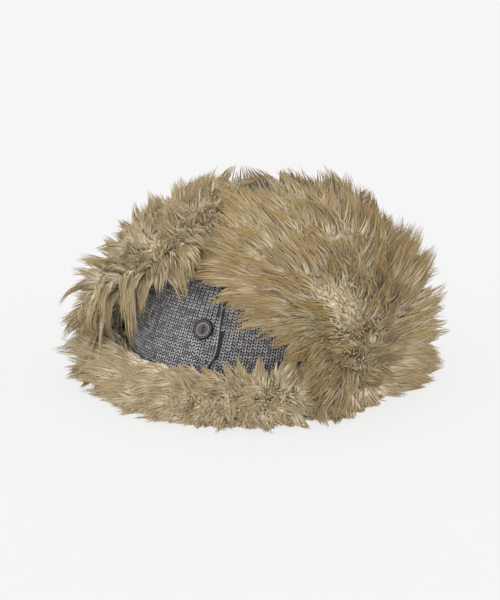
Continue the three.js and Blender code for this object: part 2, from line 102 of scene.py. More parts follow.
# How the fur lies at places on a skin: share of the way along it and share of the way up it, then
# the way the tips point (along, up), how far they stand out, and their length. A flap runs from its
# front edge to its back edge, and the band from the wearer's right to the left.
COMBS = {
    "ear_flap_left": [
        (0.3, 0.33, 0.0, 0.0, 1.0, 0.8), (0.0, 0.33, -1.0, -0.1, 0.35, 0.9),
        (0.05, 0.1, -0.6, -0.7, 0.5, 0.8), (0.35, 0.06, 0.0, -0.85, 0.75, 0.95),
        (0.7, 0.08, 0.4, -0.75, 0.75, 1.2), (1.0, 0.1, 0.9, -0.3, 0.6, 1.35),
        (0.0, 0.55, -1.0, 0.25, 0.3, 1.05), (0.0, 0.75, -1.0, 0.15, 0.3, 1.0),
        (0.2, 0.55, -0.75, 0.65, 0.45, 1.05), (0.4, 0.6, -0.3, 0.95, 0.5, 1.05),
        (0.6, 0.55, 0.3, 0.9, 0.55, 1.0), (0.85, 0.5, 0.8, 0.5, 0.55, 1.1),
        (0.65, 0.3, 1.0, 0.05, 0.6, 1.0), (1.0, 0.3, 1.0, -0.1, 0.6, 1.15),
        (0.1, 0.92, -0.8, 0.4, 0.35, 0.85), (0.35, 0.8, -0.6, 0.75, 0.4, 0.85),
        (0.6, 0.9, -0.2, 0.95, 0.4, 0.65), (0.95, 0.9, 0.4, 0.8, 0.45, 0.95),
    ],
    "ear_flap_right": [
        (0.0, 0.08, -0.8, -0.6, 0.55, 1.5), (0.5, 0.08, 0.0, -1.0, 0.65, 0.85),
        (0.95, 0.08, 0.6, -0.7, 0.6, 0.85), (0.0, 0.35, -1.0, -0.4, -0.35, 1.7),
        (0.0, 0.58, -1.0, -0.4, -0.45, 1.9), (0.0, 0.78, -1.0, -0.35, 0.1, 1.25),
        (0.02, 0.95, -0.8, -0.6, 0.2, 0.85), (0.08, 0.4, -1.0, -0.2, 0.45, 1.0),
        (0.08, 0.7, -1.0, -0.2, 0.45, 0.9), (0.18, 0.25, -0.2, -0.05, 0.9, 1.25),
        (0.22, 0.48, -0.1, 0.1, 1.0, 1.0), (0.16, 0.75, 0.0, 0.7, 0.6, 0.75),
        (0.2, 0.95, -0.1, 0.8, 0.45, 0.7), (0.35, 0.25, 0.0, 0.0, 1.0, 1.2),
        (0.6, 0.6, 0.3, 0.8, 0.65, 0.65), (0.7, 0.9, 0.3, 0.9, 0.45, 0.6),
        (1.0, 0.5, 1.0, 0.2, 0.5, 0.95),
    ],
    "neck_flap": [
        (0.05, 0.1, -0.7, -0.5, 0.6, 1.1), (0.5, 0.08, 0.0, -1.0, 0.6, 0.85),
        (0.95, 0.1, 0.7, -0.7, 0.6, 0.85), (0.5, 0.35, 0.0, 0.0, 1.0, 0.9),
        (0.05, 0.5, -0.8, 0.5, 0.6, 1.0), (0.95, 0.5, 0.8, 0.5, 0.5, 1.0),
        (0.5, 0.7, 0.0, 1.0, 0.55, 1.0), (0.1, 0.95, -0.5, 0.9, 0.5, 0.9),
        (0.5, 0.98, 0.0, 1.0, 0.5, 1.0), (0.9, 0.95, 0.5, 0.9, 0.5, 1.0),
    ],
    "front_band": [
        (0.0, 0.1, -0.5, 0.0, 0.9, 1.25), (0.12, 0.1, -0.9, 0.0, 0.5, 0.5),
        (0.3, 0.1, -0.8, 0.0, 0.35, 0.22), (0.6, 0.1, -0.5, -0.1, 0.35, 0.22),
        (1.0, 0.1, 0.4, -0.3, 0.6, 0.6), (0.0, 0.6, -0.4, 0.3, 0.9, 1.35),
        (0.15, 0.6, -0.8, 0.05, 0.75, 1.0), (0.4, 0.6, -0.7, -0.08, 0.6, 0.52),
        (0.7, 0.6, -0.35, -0.08, 0.65, 0.55), (1.0, 0.6, 0.4, 0.1, 0.9, 0.8),
        (0.0, 0.98, -0.3, 0.6, 0.8, 1.2), (0.12, 0.98, -0.7, 0.45, 0.75, 1.0),
        (0.35, 0.98, -0.9, -0.35, 0.4, 0.6), (0.58, 0.98, -0.7, 0.1, 0.5, 0.6),
        (0.76, 0.98, -0.3, 0.9, 0.5, 0.8), (0.92, 0.98, -0.1, 0.9, 0.5, 1.0),
    ],
}
# Where hair turns away all round from one point: shares along and up the skin, reach in mm, how
# far it turns round that point too, and the mm in which it comes to its full turn
WHORLS = {"ear_flap_left": {"share": 0.29, "height": 0.32, "reach": 24.0, "round": 0.45, "eye": 7.0}}
# Fur of each skin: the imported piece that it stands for, its locks, how many times the usual nap,
# the pile's depth, how far hair at its front edge hangs, how much thicker it is there, how far the
# tips take their own colour, and the seed of its random draws
FUR_COLUMNS = ("node", "locks", "nap", "pile", "hang", "fringe", "ripe", "seed")
FUR_ROWS = {
    "ear_flap_left": ("ear_flap_left_fur", 400, 1, 13.0, 0.4, 3.5, 1.0, 11),
    "ear_flap_right": ("ear_flap_right_fur", 330, 1, 12.0, 1.3, 5.0, 0.82, 12),
    "neck_flap": ("neck_flap_fur", 180, 2, 13.0, 0.4, 1.5, 1.0, 13),
    "front_band": ("front_band", 280, 1, 8.0, 0.0, 0.0, 0.78, 14),
}
FURS = {name: dict(zip(FUR_COLUMNS, row)) for name, row in FUR_ROWS.items()}
# Kinds of hair: share of a lock's length that the longest reach, half width, corners along one,
# how far the hairs of a lock close up at its tip, and how far the tips stray
HAIRS = {
    "under": {"reach": 0.68, "wide": 1.75, "points": 4, "gather": 0.35, "stray": 1.2},
    "over": {"reach": 1.0, "wide": 0.72, "points": 5, "gather": 1.0, "stray": 0.8},
}
# Nap: range of its length and half width in mm, how far it starts in the pile, how much longer it
# is at a flap's front edge, and the parts of its way that are out, along the comb, round a whorl,
# over the front edge and random. Then the places of a hair's points, and its corners' shares along
NAP = {
    "length": (7, 15), "wide": (1.2, 2.1), "sunk": 1.5, "longer": 0.4,
    "out": 0.7, "lay": 1.2, "whorl": 1.5, "over_edge": 1.5, "stray": 0.4,
}
NAP_PLACES = [0, 0.55, 1]
NAP_ALONG = [0.2, 0.4, 0.4, 0.4, 0.6]
# Locks: range of their length, share of the pile in which they start and how much of that their
# length loses, parts of their way that go round a whorl and are random where the comb gives none,
# and spread of their turn and lift
LOCKS = {
    "length": (0.77, 1.17), "sunk": 0.7, "cut": 0.8,
    "whorl": 1.6, "loose": 0.7, "turn": 0.1, "lift": 0.08,
}
# How locks leave the skin: parts along their lay and over the front edge, and how much less they
# stand out at the front edge and at the brow
LEAVE = {"lay": 0.45, "over": 0.8, "edge": 0.7, "brow": 0.6}
# Waves that turn the comb: size, waves along the skin and up it, and start, in radians
WAVES = [(0.18, 23, 9, 2), (0.14, -17, 31, 0)]
# Comb: how much more a step up counts than one along, and how soft and how steep its blend is
COMB_UP, COMB_SOFT, COMB_POWER = 1.4, 0.004, 1.5
# Hairs of a lock: how far they start from its line in spacings, how much they spread, ranges of
# their reach and of how far they close up, the power with which they do, and the share of stray
# ones, how much further those stray, and the spread of all
BUNCH = {
    "start": 0.8, "spread": 0.25, "reach": (0.7, 1.0), "gather": (0.75, 1.0), "power": 2.2,
    "strays": 0.06, "further": 2.6, "stray": 0.9,
}
# Width of single hairs, how they narrow to the tip, spread of their turn, and the parts of their
# tone that are their lock's and their own
HAIR = {"wide": (0.7, 1.3), "taper": 1.9, "tip": 0.05, "turn": 0.25, "lock_tone": 0.6, "own_tone": 0.4}
# Pile: least depth in mm, and how soon it comes to its full depth from the side edges, the foot
# and the top edge
PILE = {"least": 0.8, "sides": 8, "foot": 6, "top": 8}
# Steps of the additive sequence that spreads roots evenly: one over the plastic number, and that
# squared
ROOT_STEPS = (0.7548776662, 0.5698402910)
# Share of a flap's width that counts as its front edge, points along a lock's line, and a hair's
# depth over its width
EDGE_SHARE = 0.08
LINE_POINTS = 9
FLATNESS = 0.5
# Heights over the table, in mm, at which hair that reaches it comes to lie
HAIR_FLOOR = (2.3, 3.8)
PILE_FLOOR = 0.5
# A flap's top edge, where hair bends over into the hat: height and share at which that starts, the
# spans in which it comes in full, and how far it bends
BROW = {"height": 0.88, "rise": 0.1, "share": 0.3, "run": 0.2, "bend": 0.6}
# Room in mm that hair leaves over the crown, and what is added over the tabs, the height above
# which it is over the hat's top, and how far below the tabs, and in what span, their room starts
ROOM = {"crown": 0.6, "tabs": 7.4, "top": 124.5, "below": 3, "span": 4}

# Tabs: angles of the root, of the end at the foot and at the top, and of the first raised stitch,
# the tabs beneath, and the way round that the end points
TAB_COLUMNS = ("root", "end_low", "end_high", "first", "layer", "way")
TAB_ROWS = {
    "chin_tab_left": (61.0, -18.0, -14.5, 7.0, 0, -1),
    "chin_tab_right": (-61.0, 15.5, 10.5, -61.0, 1, 1),
}
TABS = {name: dict(zip(TAB_COLUMNS, row)) for name, row in TAB_ROWS.items()}
# Heights of the tabs' two long edges on the crown, and the radius of their corners
TAB_LOW = 28.0
TAB_HIGH = 98.0
TAB_CORNER = 25.0
# A tab's points in mm from its edge, then the mm at which even rows start and the mm between them,
# and the even columns over the usual length
TAB_EDGE = [0.0, 0.12, 0.4, 0.8, 1.3, 2.0, 2.8, 3.6, 4.4, 5.5]
TAB_GRID = {"start": 7, "step": 2.0, "columns": 56, "length": 116}
# The shallow channel beside a tab's hem, in mm
CHANNEL = {"depth": 0.7, "inset": 3.6, "width": 0.9}
# How far raised stitches stay inside a tab's edge, and outside a tab that lies over them, where the bare
# dark ground knit is left as that tab's painted shadow
STITCH_MARGIN = 2.2
SHADOW_GAP = 0.6
# One leg of a raised stitch: wales from the stitch's middle, courses up, and times its relief out
LEG = {
    "across": [0.05, 0.17, 0.34, 0.46],
    "rise": [-0.6, -0.22, 0.24, 0.6],
    "arch": [-0.5, 0.9, 0.9, -0.4],
}
# Half width of a leg in wales, its half depth in times the relief, and mm that its points stray
LEG_WIDE, LEG_DEEP, YARN_STRAY = 0.155, 0.6, 0.1
# Angles and heights between which the crown has raised stitches
CROWN_STITCHES = (-58, 58, 92, 122)
# A tab's hem in mm: in from the edge, out of the cloth, and half width of its yarn; the points
# round a bend and up the straight; and for a link its steps to the next one and the mm out there
HEM = {"inset": 1.0, "lift": 0.2, "wide": 0.6, "bend": 16, "straight": 12}
LINK = {"step": [-0.1, 0.25, 0.75, 1.1], "out": [-0.4, 0.35, 0.35, -0.4]}
HEM_TONES = (0.1, 0.8)
# Seeds of the random draws
SEEDS = {"crown": 1, "tabs": 2, "hem": 7}

# The button's height on the crown, how far it is towards the wearer's left, and between its holes
BUTTON_HEIGHT = 60.0
BUTTON_ACROSS = 8.0
BUTTON_HOLE_SPACING = 3.6
# Radius and height from the button's back round its rim to the middle of its face
BUTTON_PROFILE = [
    (6.9, 0), (7.6, 0.4), (8.0, 1.1), (8.0, 2.0), (7.8, 2.65), (7.4, 2.95), (7.0, 2.7), (6.7, 2.4),
    (6.4, 2.7), (6.1, 2.95), (5.8, 2.8), (5.4, 2.6), (4.8, 2.55), (4.4, 2.4), (4.1, 2.1),
]
# The face's height, the points round the button, its holes, the thread's radius, and how far the
# thread stands over the face
BUTTON_FACE = 1.95
BUTTON_SPOKES = 96
BUTTON_HOLE = {"radius": 1.15, "slope": 0.35, "depth": 1.6}
THREAD_WIDE = 0.42
THREAD_RISE = 0.75
# How pale the button is at a radius: two dark rings, a pale ring inside each, and its face
BUTTON_SHADES = {
    "radius": [0, 4.3, 4.5, 5.6, 5.8, 6.3, 6.5, 6.9, 7.1, 8],
    "pale": [0.45, 0.45, 1, 1, 0, 0, 0.7, 0.7, 0, 0],
}

# What the camera looks at, from the hat's middle, and half the floor's width in metres
AIM = [-3.3, -2.1, 62.1]
FLOOR_REACH = 15.0
# Suns: degrees round from the camera, height and width in degrees, the setting that gives their
# strength, and their part of it
SUNS = {
    "key": (-75, 22, 50, "key", 1.0),
    "fill": (75, 22, 50, "key", 0.8),
    "front": (-8, 8, 60, "front", 1.0),
}


class HatKnit(bpy.types.PropertyGroup):
    """Sizes and colours of the knitted cloth"""

    wale: FloatProperty(name="Wale", description="Width of a stitch", default=3.9 * MM, unit="LENGTH")
    course: FloatProperty(name="Course", description="Height of a stitch", default=2.45 * MM, unit="LENGTH")
    relief: FloatProperty(
        name="Relief", description="How far stitches stand up", default=0.7 * MM, unit="LENGTH"
    )
    light: FloatVectorProperty(
        name="Light", description="Colour of the light fibres", default=(0.52, 0.515, 0.53), subtype="COLOR"
    )
    dark: FloatVectorProperty(
        name="Dark", description="Colour of the dark fibres", default=(0.04, 0.04, 0.043), subtype="COLOR"
    )


class HatFur(bpy.types.PropertyGroup):
    """Sizes and colours of the fur"""

    length: FloatProperty(name="Length", description="Length of full hair", default=45 * MM, unit="LENGTH")
    thickness: FloatProperty(
        name="Thickness", description="Times the usual width of hair", default=1.0, subtype="FACTOR"
    )
    nap: IntProperty(name="Nap", description="Shortest hairs for each lock", default=14, min=1)
    under: IntProperty(name="Under hairs", description="Short hairs in a lock", default=14, min=1)
    over: IntProperty(name="Over hairs", description="Long hairs in a lock", default=22, min=1)
    droop: FloatProperty(
        name="Droop", description="How far the tips hang down", default=0.25, subtype="FACTOR"
    )
    root: FloatVectorProperty(
        name="Root", description="Colour at the skin", default=(0.95, 0.86, 0.70), subtype="COLOR"
    )
    middle: FloatVectorProperty(
        name="Middle", description="Colour half way out", default=(0.57, 0.475, 0.315), subtype="COLOR"
    )
    tip: FloatVectorProperty(
        name="Tip", description="Colour of the tips", default=(0.33, 0.22, 0.08), subtype="COLOR"
    )


class HatButton(bpy.types.PropertyGroup):
    """Colours of the button and its thread"""

    rim: FloatVectorProperty(
        name="Rim", description="Colour of the outer rim", default=(0.008, 0.009, 0.014), subtype="COLOR"
    )
    face: FloatVectorProperty(
        name="Face", description="Colour of the inside", default=(0.24, 0.22, 0.23), subtype="COLOR"
    )
    thread: FloatVectorProperty(
        name="Thread", description="Colour of the thread", default=(0.03, 0.03, 0.036), subtype="COLOR"
    )


class HatStage(bpy.types.PropertyGroup):
    """Camera and light"""

    azimuth: FloatProperty(
        name="Azimuth", description="Camera's turn from the hat's front, in degrees", default=32.0
    )
    elevation: FloatProperty(name="Elevation", description="Camera's height, in degrees", default=18.0)
    distance: FloatProperty(name="Distance", description="From camera to hat", default=1.9, unit="LENGTH")
    lens: FloatProperty(name="Lens", description="Focal length in millimetres", default=144.8)
    key: FloatProperty(name="Key light", description="Strength of the key light", default=0.65)
    front: FloatProperty(name="Front light", description="Strength of the light by the camera", default=1.0)
    sky: FloatProperty(name="Sky light", description="Strength of the light from all round", default=1.22)


def blend(column, share, beyond=None):
    """A smooth curve through entries at equal steps of share: a cubic on each step, with the slope
    at an entry half the difference of its neighbours. beyond is the neighbour past the last one."""
    last = 2 * column[-1] - column[-2] if beyond is None else beyond
    column = np.concatenate([[2 * column[0] - column[1]], column, [last]])
    place = np.clip(share, 0, 1) * (len(column) - 3)
    row = np.minimum(place.astype(int), len(column) - 4)
    part = place - row
    a, b, c, d = (column[row + k] for k in range(4))
    return (
        b * (1 + 2 * part) * (1 - part) ** 2
        + c * part**2 * (3 - 2 * part)
        + (c - a) / 2 * part * (1 - part) ** 2
        + (d - b) / 2 * part**2 * (part - 1)
    )


def section(dome, share):
    """Height and half extents of a dome at a share of the way up it, level over the top."""
    top = {key: dome[key][-2] if key == "height" else -dome[key][-2] for key in dome}
    return {key: blend(dome[key], share, top[key]) for key in dome}


def share_at_height(dome, height):
    """The share of the way up at which a dome reaches a height, read from 600 steps."""
    share = np.linspace(0, 1, 600)
    return np.interp(height, section(dome, share)["height"], share)


def skin(dome, degrees, share):
    """x = side sin a, y = -depth cos a, z = height, with the front or back extent as depth."""
    degrees, share = np.broadcast_arrays(np.asarray(degrees, float), np.asarray(share, float))
    at = section(dome, share)
    a = np.radians(degrees)
    depth = np.where(np.cos(a) > 0, at["front"], at["back"])
    return np.stack([at["side"] * np.sin(a), -depth * np.cos(a), at["height"]], axis=-1)


def unit(v):
    """Vectors divided by their lengths."""
    return v / np.maximum(np.linalg.norm(v, axis=-1, keepdims=True), 1e-9)


def compass(dome, degrees, share):
    """The ways round, up and out of a dome, from differences of nearby points on it."""
    share = np.clip(share, 0, TOP_SHARE)
    around = unit(skin(dome, degrees + 1, share) - skin(dome, degrees - 1, share))
    up = unit(skin(dome, degrees, share + DOME_STEP) - skin(dome, degrees, share - DOME_STEP))
    return around, up, unit(np.cross(around, up))


def on_dome(dome, degrees, share, out):
    """The dome's point moved out along its own normal."""
    return skin(dome, degrees, share) + compass(dome, degrees, share)[2] * np.asarray(out, float)[..., None]


def on_flap(flap, share, height):
    """Angle and rise of a place given by shares of the flap's width and height."""
    front = blend(flap["edges"]["front"], height)
    back = blend(flap["edges"]["back"], height)
    return flap["side"] * (front + (back - front) * share), flap["rise"] * height


def flap_skin(name):
    """The outer face of a flap's cloth, as a function of shares of its width and height."""
    flap = FLAP_SHAPES[name]

    def place(share, height):
        degrees, rise = on_flap(flap, share, height)
        return on_dome(FLAPS, degrees, rise, np.full(np.shape(rise), KNIT))

    return place


def band_skin(share, height):
    """The band's backing: the crown's ellipse at each height moved level outwards."""
    share, height = np.broadcast_arrays(share, height)
    z = blend(BAND_SKIN["height"], height)
    out = blend(BAND_SKIN["out"], height)
    rise = share_at_height(CROWN, np.maximum(z, CROWN["height"][0]))
    points = skin(CROWN, BAND_HALF_ANGLE * (2 * share - 1), rise)
    level = unit(points * [1 / RIM_SIDE**2, 1 / RIM_FRONT**2, 0])
    points = points + out[..., None] * level
    points[..., 2] = z
    return points


def skin_of(name):
    """The skin that a region's fur grows on."""
    return band_skin if name == "front_band" else flap_skin(name)


def ways(place, share, height):
    """The ways along a skin, up it and out of it, and its area for one unit of each share, from
    differences. Out is the side away from a point in the middle of the hat."""
    step = 0.01
    along = (place(share + step, height) - place(share - step, height)) / (2 * step)
    up = (place(share, height + step) - place(share, height - step)) / (2 * step)
    out = np.cross(along, up)
    area = np.linalg.norm(out, axis=-1)
    side = np.sign(np.sum(out * (place(share, height) - [0, 0, 50]), axis=-1, keepdims=True))
    return unit(along), unit(up), unit(out) * side, area


def put_mesh(name, points, faces, nodes, material):
    """Makes a piece from points in hat millimetres, turned face out by the sign of its volume, and
    rides it on the hat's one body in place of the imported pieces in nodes."""
    points = np.asarray(points, float).reshape(-1, 3)
    a, b, c = (points[faces[:, k]] for k in range(3))
    volume = np.sum(a * np.cross(b, c))
    if faces.shape[1] == 4:
        volume += np.sum(a * np.cross(c, points[faces[:, 3]]))
    if volume < 0:
        faces = faces[:, ::-1]
    mesh = bpy.data.meshes.new(name)
    mesh.vertices.add(len(points))
    mesh.vertices.foreach_set("co", ((points + MIDDLE) * MM).astype(np.float32).ravel())
    mesh.loops.add(faces.size)
    mesh.loops.foreach_set("vertex_index", faces.astype(np.int32).ravel())
    mesh.polygons.add(len(faces))
    mesh.polygons.foreach_set("loop_start", np.arange(0, faces.size, faces.shape[1], dtype=np.int32))
    mesh.polygons.foreach_set("use_smooth", np.ones(len(faces), bool))
    mesh.update(calc_edges=True)
    mesh.materials.append(material)
    piece = bpy.data.objects.new(name, mesh)
    bpy.context.scene.collection.objects.link(piece)
    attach(piece, "root")
    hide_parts(*nodes)
    return piece


def put_values(piece, name, values):
    """Stores a number, or a vector where values has three columns, for each vertex."""
    vectors = values.ndim == 2 and values.shape[1] == 3
    layer = piece.data.attributes.new(name, "FLOAT_VECTOR" if vectors else "FLOAT", "POINT")
    layer.data.foreach_set("vector" if vectors else "value", values.astype(np.float32).ravel())


def put_uv(piece, uv):
    """Stores a flat place for each vertex as the piece's own UV map."""
    corners = np.empty(len(piece.data.loops), np.int32)
    piece.data.loops.foreach_get("vertex_index", corners)
    layer = piece.data.uv_layers.new(name="cloth")
    layer.data.foreach_set("uv", np.asarray(uv, np.float32)[corners].ravel())


def grid_faces(rows, columns, wrap):
    """Squares of a grid of points, row by row. If the rows wrap, the last column joins the first."""
    i = np.arange(rows - 1)[:, None] * columns
    j = np.arange(columns if wrap else columns - 1)
    k = (j + 1) % columns
    return np.stack([i + j, i + k, i + columns + k, i + columns + j], -1).reshape(-1, 4)


def shell_faces(rows, columns, wrap):
    """Squares of a closed shell whose outer points come first, row by row, and then its inner ones.
    Strips close the first and last rows, and the two sides too unless the rows wrap."""
    face = grid_faces(rows, columns, wrap)
    j = np.arange(columns if wrap else columns - 1)
    k = (j + 1) % columns
    inner = rows * columns
    top = inner - columns
    edges = [(j, k), (top + k, top + j)]
    if not wrap:
        left = np.arange(rows - 1) * columns
        right = left + columns - 1
        edges += [(left + columns, left), (right, right + columns)]
    strips = [np.stack([b, a, a + inner, b + inner], -1) for a, b in edges]
    return np.concatenate([face, face[:, ::-1] + inner, *strips])


def fan(ring):
    """Squares that close a ring with an even number of points, all from its first point."""
    first = np.full(len(ring) // 2 - 1, ring[0])
    return np.stack([first, ring[1:-2:2], ring[2:-1:2], ring[3::2]], -1)


def strands(lines, across, wide, deep, sides):
    """Closed tubes along many lines at once. Around each inner point of a line stand corners at
    centre + wide cos a across + deep sin a (tangent x across); both ends are single points."""
    count, size = lines.shape[:2]
    tangent = unit(np.gradient(lines, axis=1))
    across = unit(across - tangent * np.sum(across * tangent, axis=-1, keepdims=True))
    turn = 2 * np.pi * np.arange(sides) / sides
    spread = (
        np.cos(turn)[:, None] * (wide[..., None] * across)[:, 1:-1, None]
        + np.sin(turn)[:, None] * (deep[..., None] * np.cross(tangent, across))[:, 1:-1, None]
    )
    rings = (lines[:, 1:-1, None] + spread).reshape(count, -1, 3)
    points = np.concatenate([lines[:, :1], rings, lines[:, -1:]], axis=1)
    a = np.arange(sides)
    b = (a + 1) % sides
    last = 1 + sides * (size - 3)
    faces = [np.stack([0 * a, 1 + b, 1 + a], -1)]
    for ring in range(1, 1 + sides * (size - 3), sides):
        faces.append(np.stack([ring + a, ring + b, ring + sides + b], -1))
        faces.append(np.stack([ring + a, ring + sides + b, ring + sides + a], -1))
    faces.append(np.stack([last + a, last + b, 0 * a + last + sides], -1))
    faces = np.concatenate(faces)[None] + points.shape[1] * np.arange(count)[:, None, None]
    return points, faces.reshape(-1, 3)


def arc_length(points):
    """Distance run along a line of points, starting from nought."""
    return np.concatenate([[0.0], np.cumsum(np.linalg.norm(np.diff(points, axis=0), axis=1))])


FRONT_SHARES = np.linspace(0, 1, 400)
FRONT_LENGTHS = arc_length(skin(CROWN, np.zeros(400), FRONT_SHARES))


def climb(share):
    """Arc length up the middle of the crown's front to a share of the way up the crown."""
    return np.interp(share, FRONT_SHARES, FRONT_LENGTHS)


def share_at_climb(length):
    """The share of the way up the crown at an arc length up its front."""
    return np.interp(length, FRONT_LENGTHS, FRONT_SHARES)


TAB_FOOT = climb(share_at_height(CROWN, TAB_LOW))
TAB_SPAN = climb(share_at_height(CROWN, TAB_HIGH)) - TAB_FOOT


def wale_degrees(settings):
    """The angle that one stitch takes round the hat where it is widest."""
    return np.degrees(settings.wale / MM / max(CROWN["side"]))


def cloth_uv(degrees, share, settings):
    """Counts wales round the hat and courses up its front."""
    courses = climb(share) * MM / settings.course
    return np.stack([degrees / wale_degrees(settings), courses], -1)


def tab_end(tab, rise):
    """Angle of a tab's end at an arc length above its foot: a straight slant."""
    return tab["end_low"] + (tab["end_high"] - tab["end_low"]) * rise / TAB_SPAN


def tab_margin(tab, degrees, share):
    """Millimetres from a place to the tab's edge: a strip with two quarter-round corners."""
    rise = climb(share) - TAB_FOOT
    radius = section(CROWN, share)["side"]
    inward = tab["way"] * np.radians(tab_end(tab, rise) - degrees) * radius
    edge = np.minimum(rise, TAB_SPAN - rise)
    past = np.hypot(np.maximum(TAB_CORNER - inward, 0), np.maximum(TAB_CORNER - edge, 0))
    both = (inward < TAB_CORNER) & (edge < TAB_CORNER)
    return np.where(both, TAB_CORNER - past, np.minimum(inward, edge))


def tab_face(tab, margin):
    """Depth of a tab's two faces from the crown: half a circle at the edge, with the shallow
    channel of the hem a little inside it on the outer face."""
    low = CLOTH_GAP + tab["layer"] * (KNIT + CLOTH_GAP)
    half = KNIT / 2
    near = np.clip(margin / half, 0, 1)
    bulge = half * np.sqrt(1 - (1 - near) ** 2 * 0.96)
    channel = CHANNEL["depth"] * np.exp(-(((margin - CHANNEL["inset"]) / CHANNEL["width"]) ** 2))
    return low + half - bulge, low + half + bulge - channel


class Nodes:
    """Builds a material's node tree a node at a time."""

    def __init__(self, name):
        self.material = bpy.data.materials.new(name)
        self.material.use_nodes = True
        self.tree = self.material.node_tree
        self.shader = self.tree.nodes["Principled BSDF"]

    def add(self, kind, inputs=(), **settings):
        """Adds a node; inputs pairs a socket's name or number with a value or another socket."""
        node = self.tree.nodes.new(kind)
        for key, value in settings.items():
            setattr(node, key, value)
        for key, value in dict(inputs).items():
            self.join(node.inputs[key], value)
        return node

    def join(self, socket, value):
        """Links a socket or sets its value."""
        if isinstance(value, bpy.types.NodeSocket):
            self.tree.links.new(value, socket)
        else:
            socket.default_value = value

    def maths(self, operation, a, b=0.0):
        """One step of arithmetic."""
        return self.add("ShaderNodeMath", {0: a, 1: b}, operation=operation).outputs[0]

    def mix(self, factor, a, b, blend_type="MIX"):
        """A colour mixed from two colours."""
        node = self.add("ShaderNodeMix", {0: factor, 6: a, 7: b}, data_type="RGBA", blend_type=blend_type)
        return node.outputs[2]

    def attribute(self, name):
        """A number stored on the piece."""
        return self.add("ShaderNodeAttribute", attribute_name=name).outputs["Fac"]

    def noise(self, scale, detail=2.0):
        """Noise from nought to one over the piece's own coordinates."""
        inputs = {"Scale": scale, "Vector": self.place(), "Detail": detail}
        return self.add("ShaderNodeTexNoise", inputs).outputs["Fac"]

    def ramp(self, value, low, high):
        """Nought below low, one above high."""
        inputs = {"Value": value, "From Min": low, "From Max": high}
        return self.add("ShaderNodeMapRange", inputs).outputs["Result"]

    def place(self):
        """Object coordinates."""
        return self.add("ShaderNodeTexCoord").outputs["Object"]

    def bump(self, height, strength, distance):
        """A bumped normal on the shader."""
        inputs = {"Height": height, "Strength": strength, "Distance": distance}
        self.join(self.shader.inputs["Normal"], self.add("ShaderNodeBump", inputs).outputs["Normal"])

    def finish(self, colour, **sockets):
        """Colour, and numbers set on the shader's own sockets; underscores stand for spaces."""
        self.join(self.shader.inputs["Base Color"], colour)
        for key, value in sockets.items():
            self.shader.inputs[key.replace("_", " ")].default_value = value
        return self.material


def rgba(colour, shade=1.0):
    """A colour with full alpha, darkened by shade."""
    return (*(shade * c for c in colour), 1.0)


def melange(nodes, settings, tone):
    """Mixed light and dark fibres: fine noise over slow patches and each stitch's own tone."""
    fine = nodes.maths("MULTIPLY", nodes.noise(1700.0, 3.0), 0.7)
    slow = nodes.maths("MULTIPLY", nodes.noise(300.0), 0.3)
    mixed = nodes.maths("ADD", nodes.maths("ADD", fine, slow), tone)
    return nodes.mix(nodes.ramp(mixed, 0.1, 0.7), rgba(settings.dark), rgba(settings.light))


def plain_knit(settings, name="plain_knit", low=0.25, high=0.9):
    """Plain knit on the cloth's UV map, which counts stitches. The two legs of a stitch lean away
    from its middle: height is half a wave along v - 1.3 |u| times half a wave across each leg. The
    fibres' colour is multiplied by a painted shade, from low between the legs to high on top of
    them, so the grooves between the legs are painted darker."""
    nodes = Nodes(name)
    cloth = nodes.add("ShaderNodeUVMap", uv_map="cloth").outputs[0]
    uv = nodes.add("ShaderNodeSeparateXYZ", {0: cloth}).outputs
    lean = nodes.maths("ABSOLUTE", nodes.maths("SUBTRACT", nodes.maths("FRACT", uv[0]), 0.5))
    phase = nodes.maths("FRACT", nodes.maths("SUBTRACT", uv[1], nodes.maths("MULTIPLY", lean, 1.3)))
    leg = nodes.maths("SINE", nodes.maths("MULTIPLY", phase, np.pi))
    across = nodes.maths("SINE", nodes.maths("MULTIPLY", lean, 2 * np.pi))
    height = nodes.maths("MULTIPLY", leg, nodes.maths("POWER", across, 0.6))
    # Painted shade: the colour goes from low in the grooves between the legs to high on the legs' tops
    shade = nodes.mix(nodes.ramp(height, 0.0, 0.6), rgba((low,) * 3), rgba((high,) * 3))
    colour = nodes.mix(1.0, melange(nodes, settings, 0.0), shade, "MULTIPLY")
    nodes.bump(height, 0.9, 0.0008)
    return nodes.finish(colour, Roughness=0.95, Sheen_Weight=0.3, Sheen_Roughness=0.6)


def shadowed_ground_knit(settings):
    """Plain knit painted almost black: painted shade between raised stitches and beside a tab that lies
    over it.
    """
    return plain_knit(settings, "shadowed_ground_knit", 0.02, 0.08)


def raised_yarn(settings):
    """Yarn of the raised stitches."""
    nodes = Nodes("raised_yarn")
    tone = nodes.maths("MULTIPLY", nodes.maths("SUBTRACT", nodes.attribute("tone"), 0.5), 0.4)
    nodes.bump(nodes.noise(2200.0), 0.4, 0.0003)
    colour = melange(nodes, settings, tone)
    return nodes.finish(colour, Roughness=0.92, Sheen_Weight=0.25, Sheen_Roughness=0.6)


